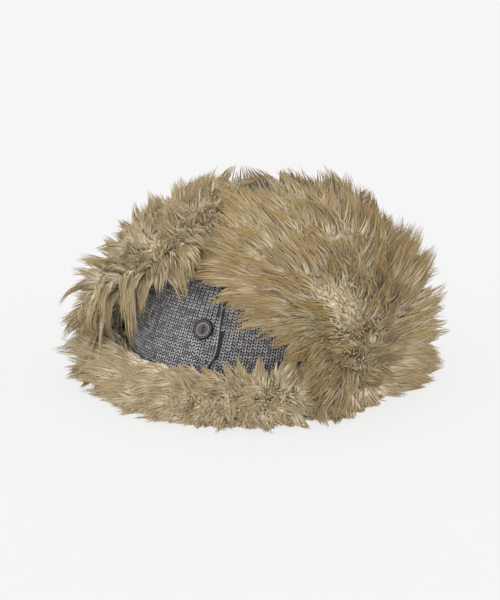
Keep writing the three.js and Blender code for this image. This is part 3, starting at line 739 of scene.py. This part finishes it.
def long_hair(settings):
    """Hair that turns from its root colour through the middle one to a darker tip, with a tone of
    its own for each hair. It is lit as a coat: its normal leans to the way out of the skin."""
    nodes = Nodes("long_hair")
    along = nodes.attribute("along")
    tone = nodes.attribute("tone")
    away = nodes.add("ShaderNodeAttribute", attribute_name="away").outputs["Vector"]
    own = nodes.add("ShaderNodeNewGeometry").outputs["Normal"]
    lean = nodes.add("ShaderNodeMix", {0: 0.25, 4: own, 5: away}, data_type="VECTOR").outputs[1]
    lean = nodes.add("ShaderNodeVectorMath", {0: lean}, operation="NORMALIZE").outputs[0]
    nodes.join(nodes.shader.inputs["Normal"], lean)
    low = nodes.mix(nodes.ramp(along, 0.1, 0.5), rgba(settings.root), rgba(settings.middle))
    reach = nodes.maths("ADD", along, nodes.maths("MULTIPLY", tone, 0.3))
    colour = nodes.mix(nodes.ramp(reach, 0.5, 1.1), low, rgba(settings.tip))
    value = nodes.maths("ADD", 0.86, nodes.maths("MULTIPLY", tone, 0.28))
    toned = nodes.add("ShaderNodeHueSaturation", {"Value": value, "Color": colour}).outputs[0]
    return nodes.finish(toned, Roughness=0.8, Specular_IOR_Level=0.2, Sheen_Weight=0.1)


def dense_pile(settings):
    """The dense pile under the hairs: their middle and root colours in streaks."""
    nodes = Nodes("dense_pile")
    streak = nodes.noise(350.0, 4.0)
    colour = nodes.mix(nodes.ramp(streak, 0.35, 0.65), rgba(settings.middle), rgba(settings.root))
    nodes.bump(streak, 0.8, 0.002)
    return nodes.finish(colour, Roughness=0.9, Sheen_Weight=0.2)


def moulded_button(settings):
    """Moulded button: dark rings and a paler satin ring and face, faintly clouded."""
    nodes = Nodes("moulded_button")
    face = nodes.mix(nodes.attribute("face"), rgba(settings.rim), rgba(settings.face))
    cloud = nodes.mix(nodes.noise(300.0, 3.0), rgba((0.75, 0.75, 0.75)), rgba((1, 1, 1)))
    nodes.bump(nodes.noise(1500.0), 0.08, 0.0002)
    colour = nodes.mix(1.0, face, cloud, "MULTIPLY")
    return nodes.finish(colour, Roughness=0.5, Specular_IOR_Level=0.12)


def twisted_thread(settings):
    """Twisted sewing thread, painted darker in the twist's grooves and lighter on its ridges: painted shade
    and painted highlight.
    """
    nodes = Nodes("twisted_thread")
    inputs = {"Scale": 1400.0, "Vector": nodes.place(), "Distortion": 1.0}
    wave = nodes.add("ShaderNodeTexWave", inputs).outputs["Fac"]
    nodes.bump(wave, 0.5, 0.0002)
    # The wave that bumps the twist also paints it: painted shade in its lows, painted highlight on its
    # highs
    colour = nodes.mix(wave, rgba(settings.thread, 0.5), rgba(settings.thread, 1.5))
    return nodes.finish(colour, Roughness=0.7, Sheen_Weight=0.2)


def pale_paper():
    """Seamless pale paper with the faintest grain."""
    nodes = Nodes("pale_paper")
    grain = nodes.mix(nodes.noise(40.0), rgba((0.078, 0.078, 0.078)), rgba((0.082, 0.082, 0.082)))
    lit = {"Emission_Color": (1, 1, 1, 1), "Emission_Strength": 0.79}
    return nodes.finish(grain, Roughness=0.9, Specular_IOR_Level=0.1, **lit)


def shared(make, settings):
    """The material that is named as the function that makes it, made once."""
    return bpy.data.materials.get(make.__name__) or make(settings)


def half_area(points, faces):
    """Half the area of a closed shell's squares, in square metres: the area of the cloth."""
    corners = points[faces]
    cross = np.cross(corners[:, 2] - corners[:, 0], corners[:, 3] - corners[:, 1])
    return float(np.linalg.norm(cross, axis=1).sum() / 4 * MM**2)


def cloth_piece(name, node, outer, inner, faces, degrees, share, make, settings):
    """A sheet of cloth from the points of its two faces, with stitches counted on both, and its
    area."""
    points = np.concatenate([outer, inner]).reshape(-1, 3)
    points[:, 2] = np.maximum(points[:, 2], FLOOR_GAP)
    piece = put_mesh(name, points, faces, [node], shared(make, settings))
    uv = cloth_uv(degrees, share, settings)
    put_uv(piece, np.concatenate([uv, uv]).reshape(-1, 2))
    return piece, half_area(points, faces)


def crown_cloth(settings):
    """The hollow crown: its dome and the same dome moved in by the cloth's thickness."""
    rows, columns = 64, 120
    turn = np.linspace(0, 360, columns, endpoint=False)
    degrees, share = np.meshgrid(turn, np.linspace(0, 1, rows))
    share = np.minimum(share, POLE_SHARE)
    outer = skin(CROWN, degrees, share)
    inner = on_dome(CROWN, degrees, share, np.full(share.shape, -KNIT))
    inner[0, :, 2] = outer[0, :, 2]
    inner[-1, :, :2] = outer[-1, :, :2]
    walls = shell_faces(rows, columns, True)[:-columns]
    ring = (rows - 1) * columns + np.arange(columns)
    faces = np.concatenate([walls, fan(ring), fan(ring + rows * columns)[:, ::-1]])
    piece, area = cloth_piece(
        "crown_cloth", "crown", outer, inner, faces, degrees, share, plain_knit, settings
    )
    around = float(np.linalg.norm(np.diff(outer[0], axis=0, append=outer[0, :1]), axis=1).sum()) * MM
    climb_up = float(arc_length(outer[:, 0]).max()) * MM
    area = min(area, around * climb_up)


def tab_cloth(name, settings):
    """One chin tab: rows at arc lengths up the crown's front, columns from its end to its root,
    each crowded near the edges so that they come out round."""
    tab = TABS[name]
    edge = np.array(TAB_EDGE)
    start, length = TAB_GRID["start"], TAB_GRID["length"]
    even = np.arange(start, TAB_SPAN - start, TAB_GRID["step"])
    rise = np.concatenate([edge, even, TAB_SPAN - edge[::-1]])
    away = np.concatenate([edge, np.linspace(start, length, TAB_GRID["columns"])]) / length
    rise, away = np.meshgrid(rise, away, indexing="ij")
    share = share_at_climb(TAB_FOOT + rise)
    radius = section(CROWN, share)["side"]
    past = np.clip(TAB_CORNER - np.minimum(rise, TAB_SPAN - rise), 0, TAB_CORNER)
    corner = np.degrees((TAB_CORNER - np.sqrt(TAB_CORNER**2 - past**2)) / radius)
    end = tab_end(tab, rise) - tab["way"] * corner
    degrees = end + (tab["root"] - end) * away
    low, high = tab_face(tab, np.maximum(tab_margin(tab, degrees, share), 0))
    outer, inner = (on_dome(CROWN, degrees, share, depth) for depth in (high, low))
    faces = shell_faces(*degrees.shape, False)
    # The tab's cloth is the nearly black ground knit: painted shade between its raised stitches
    piece, area = cloth_piece(
        f"{name}_cloth", name, outer, inner, faces, degrees, share, shadowed_ground_knit, settings
    )
    length = float(np.radians(abs(tab["end_low"] - tab["root"])) * max(CROWN["side"])) * MM
    flat = (float(TAB_SPAN) * MM, length)
    area = min(area, flat[0] * flat[1])


def flap_cloth(name, settings):
    """The knitted wall of one flap, between the flaps' dome and the same dome moved out."""
    rows, columns = 60, 44
    share, height = np.meshgrid(np.linspace(0, 1, columns), np.linspace(0, 1, rows))
    degrees, rise = on_flap(FLAP_SHAPES[name], share, height)
    edge = np.minimum(share, 1 - share) * columns / 2
    half = KNIT / 2 * np.sqrt(1 - (1 - np.clip(edge, 0, 1)) ** 2 * 0.8)
    outer = on_dome(FLAPS, degrees, rise, KNIT / 2 + half)
    inner = on_dome(FLAPS, degrees, rise, KNIT / 2 - half)
    faces = shell_faces(rows, columns, False)
    node = f"{name}_knit"
    piece, area = cloth_piece(
        f"{name}_cloth", node, outer, inner, faces, degrees, rise, plain_knit, settings
    )


def put_yarn(name, node, lines, across, wide, deep, tone, settings):
    """A piece of yarn spindles along lines, each with its own tone."""
    points, faces = strands(lines, across, wide, deep, 4)
    material = shared(raised_yarn, settings)
    piece = put_mesh(name, points, faces, [node], material)
    put_values(piece, "tone", np.repeat(tone, points.shape[1]))


def stitches(name, node, degrees, share, out, settings, seed):
    """Raised stitches at places round the crown. Each has two legs, and the middle line of a leg
    runs from low at the stitch's middle to high at its side, arched outwards."""
    rng = np.random.default_rng(seed)
    around, up, away = compass(CROWN, degrees, share)
    centre = on_dome(CROWN, degrees, share, out)
    wale = (np.hypot(centre[:, 0], centre[:, 1]) * np.radians(wale_degrees(settings)))[:, None, None]
    course = settings.course / MM
    relief = settings.relief / MM
    across, rise, arch = (np.array(LEG[key])[:, None] for key in ("across", "rise", "arch"))
    lines, sides = [], []
    for side in (-1, 1):
        line = centre[:, None] + side * wale * across * around[:, None]
        lines.append(line + course * rise * up[:, None] + relief * arch * away[:, None])
        sides.append(np.repeat(around[:, None], 4, axis=1))
    lines = np.concatenate(lines)
    lines += rng.normal(0, YARN_STRAY, lines.shape)
    wide = np.full(lines.shape[:2], LEG_WIDE * settings.wale / MM)
    deep = np.full(lines.shape[:2], LEG_DEEP * relief)
    tone = np.tile(rng.random(len(centre)), 2)
    put_yarn(name, node, lines, np.concatenate(sides), wide, deep, tone, settings)


def hem(name, settings):
    """A chain of yarn round a tab's end: short overlapping spindles, a millimetre in from the edge,
    each along the line from one link's place to the next."""
    tab = TABS[name]
    turn = np.linspace(0, np.pi / 2, HEM["bend"])
    inner = TAB_CORNER - HEM["inset"]
    low = np.stack([TAB_CORNER - inner * np.sin(turn), TAB_CORNER - inner * np.cos(turn)])
    straight = np.linspace(TAB_CORNER, TAB_SPAN - TAB_CORNER, HEM["straight"])[1:-1]
    inward = np.concatenate([low[0], np.full(len(straight), HEM["inset"]), low[0, ::-1]])
    rise = np.concatenate([low[1], straight, TAB_SPAN - low[1, ::-1]])
    share = share_at_climb(TAB_FOOT + rise)
    back = np.degrees(inward / section(CROWN, share)["side"])
    degrees = tab_end(tab, rise) - tab["way"] * back
    depth = tab_face(tab, np.full(len(rise), HEM["inset"]))[1] + HEM["lift"]
    points = on_dome(CROWN, degrees, share, depth)
    out = compass(CROWN, degrees, share)[2][:-1]
    gap = points[1:] - points[:-1]
    step, lift = (np.array(LINK[key])[:, None] for key in ("step", "out"))
    lines = points[:-1, None] + step * gap[:, None]
    lines = lines + lift * out[:, None]
    across = np.cross(out, gap)[:, None] * np.ones((4, 1))
    wide = np.full(lines.shape[:2], HEM["wide"])
    tone = np.random.default_rng(SEEDS["hem"]).uniform(*HEM_TONES, len(lines))
    put_yarn(f"{name}_hem", name, lines, across, wide, 0.8 * wide, tone, settings)


def stitch_grid(first, last, low, high, settings):
    """Angles and shares of the stitches between two angles and two heights on the crown."""
    wale = wale_degrees(settings)
    start, stop = climb(share_at_height(CROWN, np.array([low, high])))
    columns = (np.arange(np.ceil(first / wale), np.floor(last / wale)) + 0.5) * wale
    rows = np.arange(start, stop, settings.course / MM)
    degrees, length = np.meshgrid(columns, rows)
    return degrees.ravel(), share_at_climb(length.ravel())


def comb(name, share, height):
    """The comb's rows blended by the inverse cube of their distance from each place."""
    rows = np.array(COMBS[name])
    near = (share[:, None] - rows[:, 0]) ** 2 + (COMB_UP * (height[:, None] - rows[:, 1])) ** 2
    weight = 1 / (near + COMB_SOFT) ** COMB_POWER
    return (weight / weight.sum(axis=1, keepdims=True)) @ rows[:, 2:]


def whorl(name, point, out):
    """A bell curve of each point's distance from a whorl's middle, and the way from there to it,
    turned a little round it. Both are nought on a skin without a whorl."""
    if name not in WHORLS:
        return 0.0, 0.0
    spot = WHORLS[name]
    gap = point - skin_of(name)(np.array([spot["share"]]), np.array([spot["height"]]))
    far = np.linalg.norm(gap, axis=-1, keepdims=True)
    turned = unit(gap) + spot["round"] * np.cross(out, unit(gap))
    return np.exp(-((far / spot["reach"]) ** 2)), np.clip(far / spot["eye"], 0, 1) * turned


def scatter_roots(name, count, rng):
    """Evenly spread roots on a skin: the points of an additive sequence, each kept with a chance in
    proportion to the skin's area there, and 1 + fringe times that at its front edge. With them come
    the ways there, the comb's columns, the whorl, and rim, which is one at a flap's front edge and
    nought from EDGE_SHARE on."""
    place = skin_of(name)
    k = np.arange(1, 12 * count)
    share, height = ((0.5 + k * step) % 1 for step in ROOT_STEPS)
    area = ways(place, share, height)[3]
    weight = area * (1 + FURS[name]["fringe"] * np.exp(-((share / EDGE_SHARE) ** 2)))
    keep = np.flatnonzero(rng.random(len(k)) < weight / np.quantile(weight, 0.99))[:count]
    if len(keep) < count:
        raise RuntimeError("too few roots for this fur")
    share, height = share[keep], height[keep]
    point = place(share, height)
    along, up, out = ways(place, share, height)[:3]
    bell, radial = whorl(name, point, out)
    return SimpleNamespace(
        share=share, height=height, point=point, along=along, up=up, out=out, bell=bell,
        radial=radial, area=float(area.mean()), comb=comb(name, share, height).T[..., None],
        depth=pile_depth(name, share, height)[:, None],
        rim=np.clip(1 - share / EDGE_SHARE, 0, 1)[:, None] * (name != "front_band"),
    )


def flow(root, leave, end, length):
    """Lines that leave their roots one way and bend smoothly to another: unit steps added up."""
    part = (np.arange(LINE_POINTS - 1) + 0.5) / (LINE_POINTS - 1)
    bend = (part * part * (3 - 2 * part))[:, None]
    way = unit(leave[:, None] * (1 - bend) + end[:, None] * bend)
    run = np.cumsum(way, axis=1) * length[:, None, None] / (LINE_POINTS - 1)
    return np.concatenate([root[:, None], root[:, None] + run], axis=1)


def disc(rng, shape):
    """Points spread evenly over a disc of radius one."""
    radius = np.sqrt(rng.random(shape))[..., None]
    turn = 2 * np.pi * rng.random(shape)
    return radius * np.stack([np.cos(turn), np.sin(turn)], -1)


def settle(points, rng):
    """Moves points that lie in the crown or its tabs level outwards to the tabs' outer face, and
    raises each hair that reaches the table to a height of its own over it."""
    x, y, z = points[..., 0], points[..., 1], points[..., 2]
    at = section(CROWN, share_at_height(CROWN, np.clip(z, CROWN["height"][0], ROOM["top"])))
    cover = ROOM["crown"] + ROOM["tabs"] * np.clip((z - TAB_LOW + ROOM["below"]) / ROOM["span"], 0, 1)
    depth = np.where(y < 0, at["front"], at["back"]) + cover
    reach = np.hypot(x / (at["side"] + cover), y / depth)
    inside = (reach < 1) & (z < ROOM["top"])
    points[..., :2] /= np.where(inside, np.maximum(reach, 0.05), 1.0)[..., None]
    points[..., 2] = np.maximum(z, rng.uniform(*HAIR_FLOOR, (len(points), 1)))
    return points


def along_lines(line, reach, points):
    """Points at equal steps along the first share, reach, of each lock's line, for its hairs."""
    place = reach[..., None] * np.linspace(0, 1, points) * (LINE_POINTS - 1)
    low = np.minimum(place.astype(int), LINE_POINTS - 2)
    lock = np.arange(len(line))[:, None, None]
    return line[lock, low] + (place - low)[..., None] * (line[lock, low + 1] - line[lock, low])


def pile_depth(name, share, height):
    """Depth of the pile: level, and rounded off towards the skin's four edges."""
    sides = np.minimum(share, 1 - share) * PILE["sides"]
    edge = np.minimum(sides, np.minimum(height * PILE["foot"], (1 - height) * PILE["top"]))
    return PILE["least"] + FURS[name]["pile"] * np.sqrt(np.clip(edge, 0, 1))


def lock_lines(name, settings, rng):
    """The roots of a skin's locks, with a line for each that follows the comb, the way across its
    lay, and the locks' spacing. Waves of two slants turn the comb a little. Hair at a flap's front
    edge hangs, and along the back of its top edge it bends over into the hat."""
    locks = FURS[name]["locks"]
    at = scatter_roots(name, locks, rng)
    lay_along, lay_up, lift, length = at.comb
    turn = sum(size * np.sin(a * at.share + b * at.height + c) for size, a, b, c in WAVES)
    turn = (turn + rng.normal(0, LOCKS["turn"], locks))[:, None]
    lay_along, lay_up = lay_along - turn * lay_up, lay_up + turn * lay_along
    loose = LOCKS["loose"] * np.clip(1 - np.hypot(lay_along, lay_up), 0, 1)
    lay_along = lay_along + loose * rng.normal(0, 1, loose.shape)
    lay_up = lay_up + loose * rng.normal(0, 1, loose.shape)
    lay = lay_along * at.along + lay_up * at.up + LOCKS["whorl"] * at.bell * at.radial
    end = unit(lay + (lift + rng.normal(0, LOCKS["lift"], lift.shape)) * at.out)
    end = unit(end - (settings.droop + FURS[name]["hang"] * at.rim) * [0, 0, 1])
    brow = np.clip((at.height - BROW["height"]) / BROW["rise"], 0, 1)
    brow = brow * np.clip((at.share - BROW["share"]) / BROW["run"], 0, 1) * (name != "front_band")
    brow = brow[:, None]
    end = unit(end + brow * (BROW["bend"] * at.up - [0, 0, BROW["bend"]]))
    stand = (1 - LEAVE["edge"] * at.rim) * (1 - LEAVE["brow"] * brow)
    leave = unit(stand * at.out + LEAVE["lay"] * lay - LEAVE["over"] * at.rim * at.along)
    full = settings.length / MM * length * rng.uniform(*LOCKS["length"], locks)[:, None]
    sunk = LOCKS["sunk"] * at.depth
    at.line = flow(at.point + sunk * at.out, leave, end, (full - LOCKS["cut"] * sunk)[:, 0])
    at.across = np.cross(at.out, lay)
    at.spacing = np.sqrt(at.area / locks)
    return at


def hair_lines(locks, kind, count, rng):
    """Lines of count hairs for each lock. A hair runs beside its lock's line, first spreading a
    little and then closing up with it, and its tip strays."""
    shape = (len(locks.line), count)
    reach = kind["reach"] * rng.uniform(*BUNCH["reach"], shape)
    part = np.linspace(0, 1, kind["points"])
    offset = disc(rng, shape) * BUNCH["start"] * locks.spacing
    side = offset[..., :1] * locks.along[:, None] + offset[..., 1:] * locks.up[:, None]
    close = kind["gather"] * rng.uniform(*BUNCH["gather"], shape)[..., None]
    shut = 1 - close * (reach[..., None] * part) ** BUNCH["power"]
    grown = (1 + BUNCH["spread"] * part) * shut
    lines = along_lines(locks.line, reach, len(part)) + grown[..., None] * side[:, :, None]
    further = np.where(rng.random(shape) < BUNCH["strays"], BUNCH["further"], 1.0)
    stray = kind["stray"] * further[..., None, None]
    lines = lines + stray * rng.normal(0, BUNCH["stray"], (*shape, 1, 3)) * (part**2)[:, None]
    return settle(lines.reshape(-1, len(part), 3), rng)


def put_hairs(piece_name, name, lines, across, wide, along, tone, away, settings):
    """A piece of three-sided hairs, with each corner's share of the way along its hair, the tone of
    its hair, and the way out of the skin there."""
    across = np.broadcast_to(unit(across)[:, None], lines.shape)
    points, faces = strands(lines, across, wide, FLATNESS * wide, 3)
    material = shared(long_hair, settings)
    piece = put_mesh(piece_name, points, faces, [FURS[name]["node"]], material)
    put_values(piece, "along", np.tile(along, len(lines)))
    put_values(piece, "tone", np.repeat(tone, points.shape[1]))
    put_values(piece, "away", np.repeat(unit(away), points.shape[1], axis=0))


def nap_hairs(name, settings, rng):
    """The short thick nap that covers the pile between the locks: straight hairs from the pile's
    face. The way of each is out of the skin, plus the comb's lay, the whorl and a random lean, and
    at a flap's front edge it leans over the edge."""
    at = scatter_roots(name, FURS[name]["locks"] * FURS[name]["nap"] * settings.nap, rng)
    count = len(at.share)
    lean = NAP["lay"] * at.comb[:2] + rng.normal(0, NAP["stray"], (2, count, 1))
    way = NAP["out"] * at.out + (lean[0] - NAP["over_edge"] * at.rim) * at.along + lean[1] * at.up
    way = unit(way + NAP["whorl"] * at.bell * at.radial)
    root = at.point + (at.depth - NAP["sunk"]) * at.out
    length = rng.uniform(*NAP["length"], (count, 1, 1)) * (1 + NAP["longer"] * at.rim[..., None])
    lines = settle(root[:, None] + length * np.array(NAP_PLACES)[:, None] * way[:, None], rng)
    wide = settings.thickness * rng.uniform(*NAP["wide"], count)[:, None] * np.ones(3)
    across = np.cross(way, at.along + 0.5 * at.up)
    tone = rng.random(count)
    put_hairs(f"{name}_nap", name, lines, across, wide, NAP_ALONG, tone, at.out, settings)


def fur_hairs(name, kind_name, locks, count, settings, rng):
    """The hairs of one kind in each lock. A hair is as wide as its kind to near its tip, where it
    comes to a point, and its tone is partly its lock's and partly its own."""
    kind = HAIRS[kind_name]
    lines = hair_lines(locks, kind, count, rng)
    part = np.linspace(0, 1, kind["points"])
    wide = settings.thickness * kind["wide"] * rng.uniform(*HAIR["wide"], len(lines))[:, None]
    wide = wide * np.minimum(1, HAIR["taper"] * (1 - part) + HAIR["tip"])
    across = np.repeat(locks.across, count, axis=0)
    across = across + rng.normal(0, HAIR["turn"], (len(lines), 3))
    ripe = FURS[name]["ripe"] * kind["reach"] * part
    along = np.repeat(ripe, [1] + [3] * (kind["points"] - 2) + [1])
    tone = HAIR["lock_tone"] * np.repeat(rng.random(len(locks.line)), count)
    tone = tone + HAIR["own_tone"] * rng.random(len(lines))
    away = np.repeat(locks.out, count, axis=0) + 0.6 * unit(lines[:, -1] - lines[:, 0])
    put_hairs(f"{name}_{kind_name}", name, lines, across, wide, along, tone, away, settings)


def fur_pieces(name, settings):
    """The pile of one skin, a shell from just off the skin to the pile's depth, and its hairs."""
    rows, columns = 40, 48
    place = skin_of(name)
    share, height = np.meshgrid(np.linspace(0, 1, columns), np.linspace(0, 1, rows))
    away = ways(place, share, height)[2]
    depth = pile_depth(name, share, height)[..., None]
    outer, inner = (place(share, height) + gap * away for gap in (depth, CLOTH_GAP))
    points = np.concatenate([outer, inner]).reshape(-1, 3)
    points[:, 2] = np.maximum(points[:, 2], PILE_FLOOR)
    faces = shell_faces(rows, columns, False)
    pile = shared(dense_pile, settings)
    put_mesh(f"{name}_pile", points, faces, [FURS[name]["node"]], pile)
    rng = np.random.default_rng(FURS[name]["seed"])
    locks = lock_lines(name, settings, rng)
    nap_hairs(name, settings, rng)
    fur_hairs(name, "under", locks, settings.under, settings, rng)
    fur_hairs(name, "over", locks, settings.over, settings, rng)


def button_frame():
    """Middle of the button's back, and the ways across, up and out there."""
    share = share_at_height(CROWN, BUTTON_HEIGHT)
    side = section(CROWN, share)["side"]
    degrees = np.degrees(np.arcsin(BUTTON_ACROSS / side))
    stack = 2 * (KNIT + CLOTH_GAP) + CLOTH_GAP
    around, up, out = compass(CROWN, degrees, share)
    return on_dome(CROWN, degrees, share, stack), np.stack([around, up, out])


def button_body(settings):
    """A profile turned round the button's axis, with the face sunk in two round holes: height is
    the profile's, less a smooth step where a point is within a hole's radius."""
    origin, axes = button_frame()
    edge, middle, rings = 3.6, 0.02, 26
    face = np.stack([np.linspace(edge, middle, rings), np.full(rings, BUTTON_FACE)], -1)
    profile = np.concatenate([[[middle, 0.0]], BUTTON_PROFILE, face])
    rows = len(profile)
    turn = np.linspace(0, 2 * np.pi, BUTTON_SPOKES, endpoint=False)
    x = profile[:, :1] * np.cos(turn)
    y = profile[:, :1] * np.sin(turn)
    z = profile[:, 1:] * np.ones(BUTTON_SPOKES)
    far = BUTTON_HOLE_SPACING / 2
    hole = np.minimum(np.hypot(x, y - far), np.hypot(x, y + far))
    sink = np.clip((BUTTON_HOLE["radius"] - hole) / BUTTON_HOLE["slope"], 0, 1)
    top = (np.arange(rows) > len(BUTTON_PROFILE))[:, None]
    z = z - np.where(top, BUTTON_HOLE["depth"] * sink * sink * (3 - 2 * sink), 0)
    points = origin + np.stack([x, y, z], -1).reshape(-1, 3) @ axes
    ring = np.arange(BUTTON_SPOKES)
    caps = [fan(ring)[:, ::-1], fan(ring + (rows - 1) * BUTTON_SPOKES)]
    faces = np.concatenate([grid_faces(rows, BUTTON_SPOKES, True), *caps])
    material = shared(moulded_button, settings)
    piece = put_mesh("button_body", points, faces, ["button"], material)
    paler = np.interp(profile[:, :1], BUTTON_SHADES["radius"], BUTTON_SHADES["pale"])
    put_values(piece, "face", paler * np.ones(BUTTON_SPOKES))


def button_stitches(settings):
    """Two threads side by side, each up through one hole, over the face and down the other."""
    origin, axes = button_frame()
    far = BUTTON_HOLE_SPACING / 2
    top = BUTTON_FACE + THREAD_RISE
    path = np.array([(-far, 0.15), (-far, 1.2), (-far, top - 0.3), (-far * 0.75, top), (0, top + 0.06)])
    path = np.concatenate([path, path[-2::-1] * [-1, 1]])
    side = np.array([-THREAD_WIDE, THREAD_WIDE])[:, None, None] * np.ones((len(path), 1))
    lines = np.concatenate([side, np.broadcast_to(path, (2, *path.shape))], axis=-1)
    lines = origin + lines @ axes
    radius = np.full(lines.shape[:2], THREAD_WIDE)
    across = np.broadcast_to(axes[0], lines.shape)
    points, faces = strands(lines, across, radius, radius, 10)
    material = shared(twisted_thread, settings)
    put_mesh("button_stitches", points, faces, ["button_thread"], material)


class HAT_OT_crown(bpy.types.Operator):
    """Makes the hollow knitted crown, with raised stitches where its front shows"""

    bl_idname = "hat.crown"
    bl_label = "Crown"

    def execute(self, context):
        settings = context.scene.hat_knit
        crown_cloth(settings)
        degrees, share = stitch_grid(*CROWN_STITCHES, settings)
        out = np.zeros(len(share))
        stitches("crown_stitches", "crown", degrees, share, out, settings, SEEDS["crown"])
        return {"FINISHED"}


class HAT_OT_tabs(bpy.types.Operator):
    """Makes the two chin tabs with their raised stitches"""

    bl_idname = "hat.tabs"
    bl_label = "Chin Tabs"

    def execute(self, context):
        settings = context.scene.hat_knit
        for name, tab in TABS.items():
            tab_cloth(name, settings)
            last = max(tab["end_low"], tab["root"])
            degrees, share = stitch_grid(tab["first"], last, TAB_LOW, TAB_HIGH, settings)
            margin = tab_margin(tab, degrees, share)
            keep = margin > STITCH_MARGIN
            if tab["layer"] == 0:
                # Stitches stay clear of the upper tab's edge, so the bare dark ground there is its painted
                # shadow
                keep &= tab_margin(TABS["chin_tab_right"], degrees, share) < -SHADOW_GAP
            degrees, share, margin = degrees[keep], share[keep], margin[keep]
            out = tab_face(tab, margin)[1] + YARN_STRAY
            seed = SEEDS["tabs"] + tab["layer"]
            stitches(f"{name}_stitches", name, degrees, share, out, settings, seed)
            hem(name, settings)
        return {"FINISHED"}


class HAT_OT_flaps(bpy.types.Operator):
    """Makes the knitted walls of the ear flaps and the neck flap"""

    bl_idname = "hat.flaps"
    bl_label = "Flap Cloth"

    def execute(self, context):
        for name in FLAP_SHAPES:
            flap_cloth(name, context.scene.hat_knit)
        return {"FINISHED"}


class HAT_OT_fur(bpy.types.Operator):
    """Makes the fur of the ear flaps, the neck flap and the band along the front rim"""

    bl_idname = "hat.fur"
    bl_label = "Fur"

    def execute(self, context):
        for name in FURS:
            fur_pieces(name, context.scene.hat_fur)
        return {"FINISHED"}


class HAT_OT_button(bpy.types.Operator):
    """Makes the button and the thread that holds it"""

    bl_idname = "hat.button"
    bl_label = "Button"

    def execute(self, context):
        button_body(context.scene.hat_button)
        button_stitches(context.scene.hat_button)
        return {"FINISHED"}


class HAT_OT_stage(bpy.types.Operator):
    """Makes the floor, the lights and the camera"""

    bl_idname = "hat.stage"
    bl_label = "Stage"

    def execute(self, context):
        scene = context.scene
        settings = scene.hat_stage
        scene.view_settings.view_transform = "Standard"
        mesh = bpy.data.meshes.new("floor")
        corners = FLOOR_REACH * np.array([(-1, -1, 0), (1, -1, 0), (1, 1, 0), (-1, 1, 0)])
        mesh.from_pydata(corners, [], [(0, 1, 2, 3)])
        mesh.materials.append(pale_paper())
        floor = bpy.data.objects.new("floor", mesh)
        scene.collection.objects.link(floor)
        target = Vector((MIDDLE + AIM) * MM)
        world = bpy.data.worlds.new("studio")
        world.use_nodes = True
        sky = world.node_tree.nodes["Background"]
        sky.inputs["Color"].default_value = (1, 1, 1, 1)
        sky.inputs["Strength"].default_value = settings.sky
        scene.world = world
        for name, (turn, height, spread, setting, part) in SUNS.items():
            strength = part * getattr(settings, setting)
            add_sun(name, target, settings.azimuth + turn, height, spread, strength)
        camera = bpy.data.objects.new("camera", bpy.data.cameras.new("camera"))
        camera.data.lens = settings.lens
        camera.data.clip_end = 100
        place_looking(camera, target, settings.azimuth, settings.elevation, settings.distance)
        scene.collection.objects.link(camera)
        scene.camera = camera
        return {"FINISHED"}


def place_looking(thing, target, azimuth, elevation, distance):
    """Puts a thing at a distance from a target, turned from the hat's front and raised, and turns
    its -Z at the target."""
    a, e = np.radians([azimuth, elevation])
    way = Vector((np.sin(a) * np.cos(e), -np.cos(a) * np.cos(e), np.sin(e)))
    thing.location = target + distance * way
    thing.rotation_euler = (-way).to_track_quat("-Z", "Y").to_euler()


def add_sun(name, target, azimuth, elevation, spread, strength):
    """A distant soft light that faces the target; spread is its width in degrees."""
    data = bpy.data.lights.new(name, "SUN")
    data.angle = np.radians(spread)
    data.energy = strength
    light = bpy.data.objects.new(name, data)
    place_looking(light, target, azimuth, elevation, 2.0)
    bpy.context.scene.collection.objects.link(light)


OPERATORS = (
    HAT_OT_stage,
    HAT_OT_crown,
    HAT_OT_tabs,
    HAT_OT_flaps,
    HAT_OT_fur,
    HAT_OT_button,
)
SETTINGS = {"hat_knit": HatKnit, "hat_fur": HatFur, "hat_button": HatButton, "hat_stage": HatStage}


class HAT_PT_parts(bpy.types.Panel):
    """Lists the hat's pieces and its stage"""

    bl_idname = "HAT_PT_parts"
    bl_label = "Trooper Hat"
    bl_space_type = "VIEW_3D"
    bl_region_type = "UI"
    bl_category = "Trooper Hat"

    def draw(self, context):
        for kind in OPERATORS:
            self.layout.operator(kind.bl_idname)
        for name, kind in SETTINGS.items():
            box = self.layout.box()
            for key in kind.__annotations__:
                box.prop(getattr(context.scene, name), key)


CLASSES = (*SETTINGS.values(), *OPERATORS, HAT_PT_parts)


def register():
    """Registers the classes and puts the settings on the scene."""
    for kind in CLASSES:
        bpy.utils.register_class(kind)
    for name, kind in SETTINGS.items():
        setattr(bpy.types.Scene, name, PointerProperty(type=kind))


def unregister():
    """Takes the settings and the classes away again."""
    for name in SETTINGS:
        delattr(bpy.types.Scene, name)
    for kind in reversed(CLASSES):
        bpy.utils.unregister_class(kind)


def main():
    register()
    bpy.ops.hat.stage()
    bpy.ops.hat.crown()
    bpy.ops.hat.tabs()
    bpy.ops.hat.flaps()
    bpy.ops.hat.fur()
    bpy.ops.hat.button()


if __name__ == "__main__":
    main()
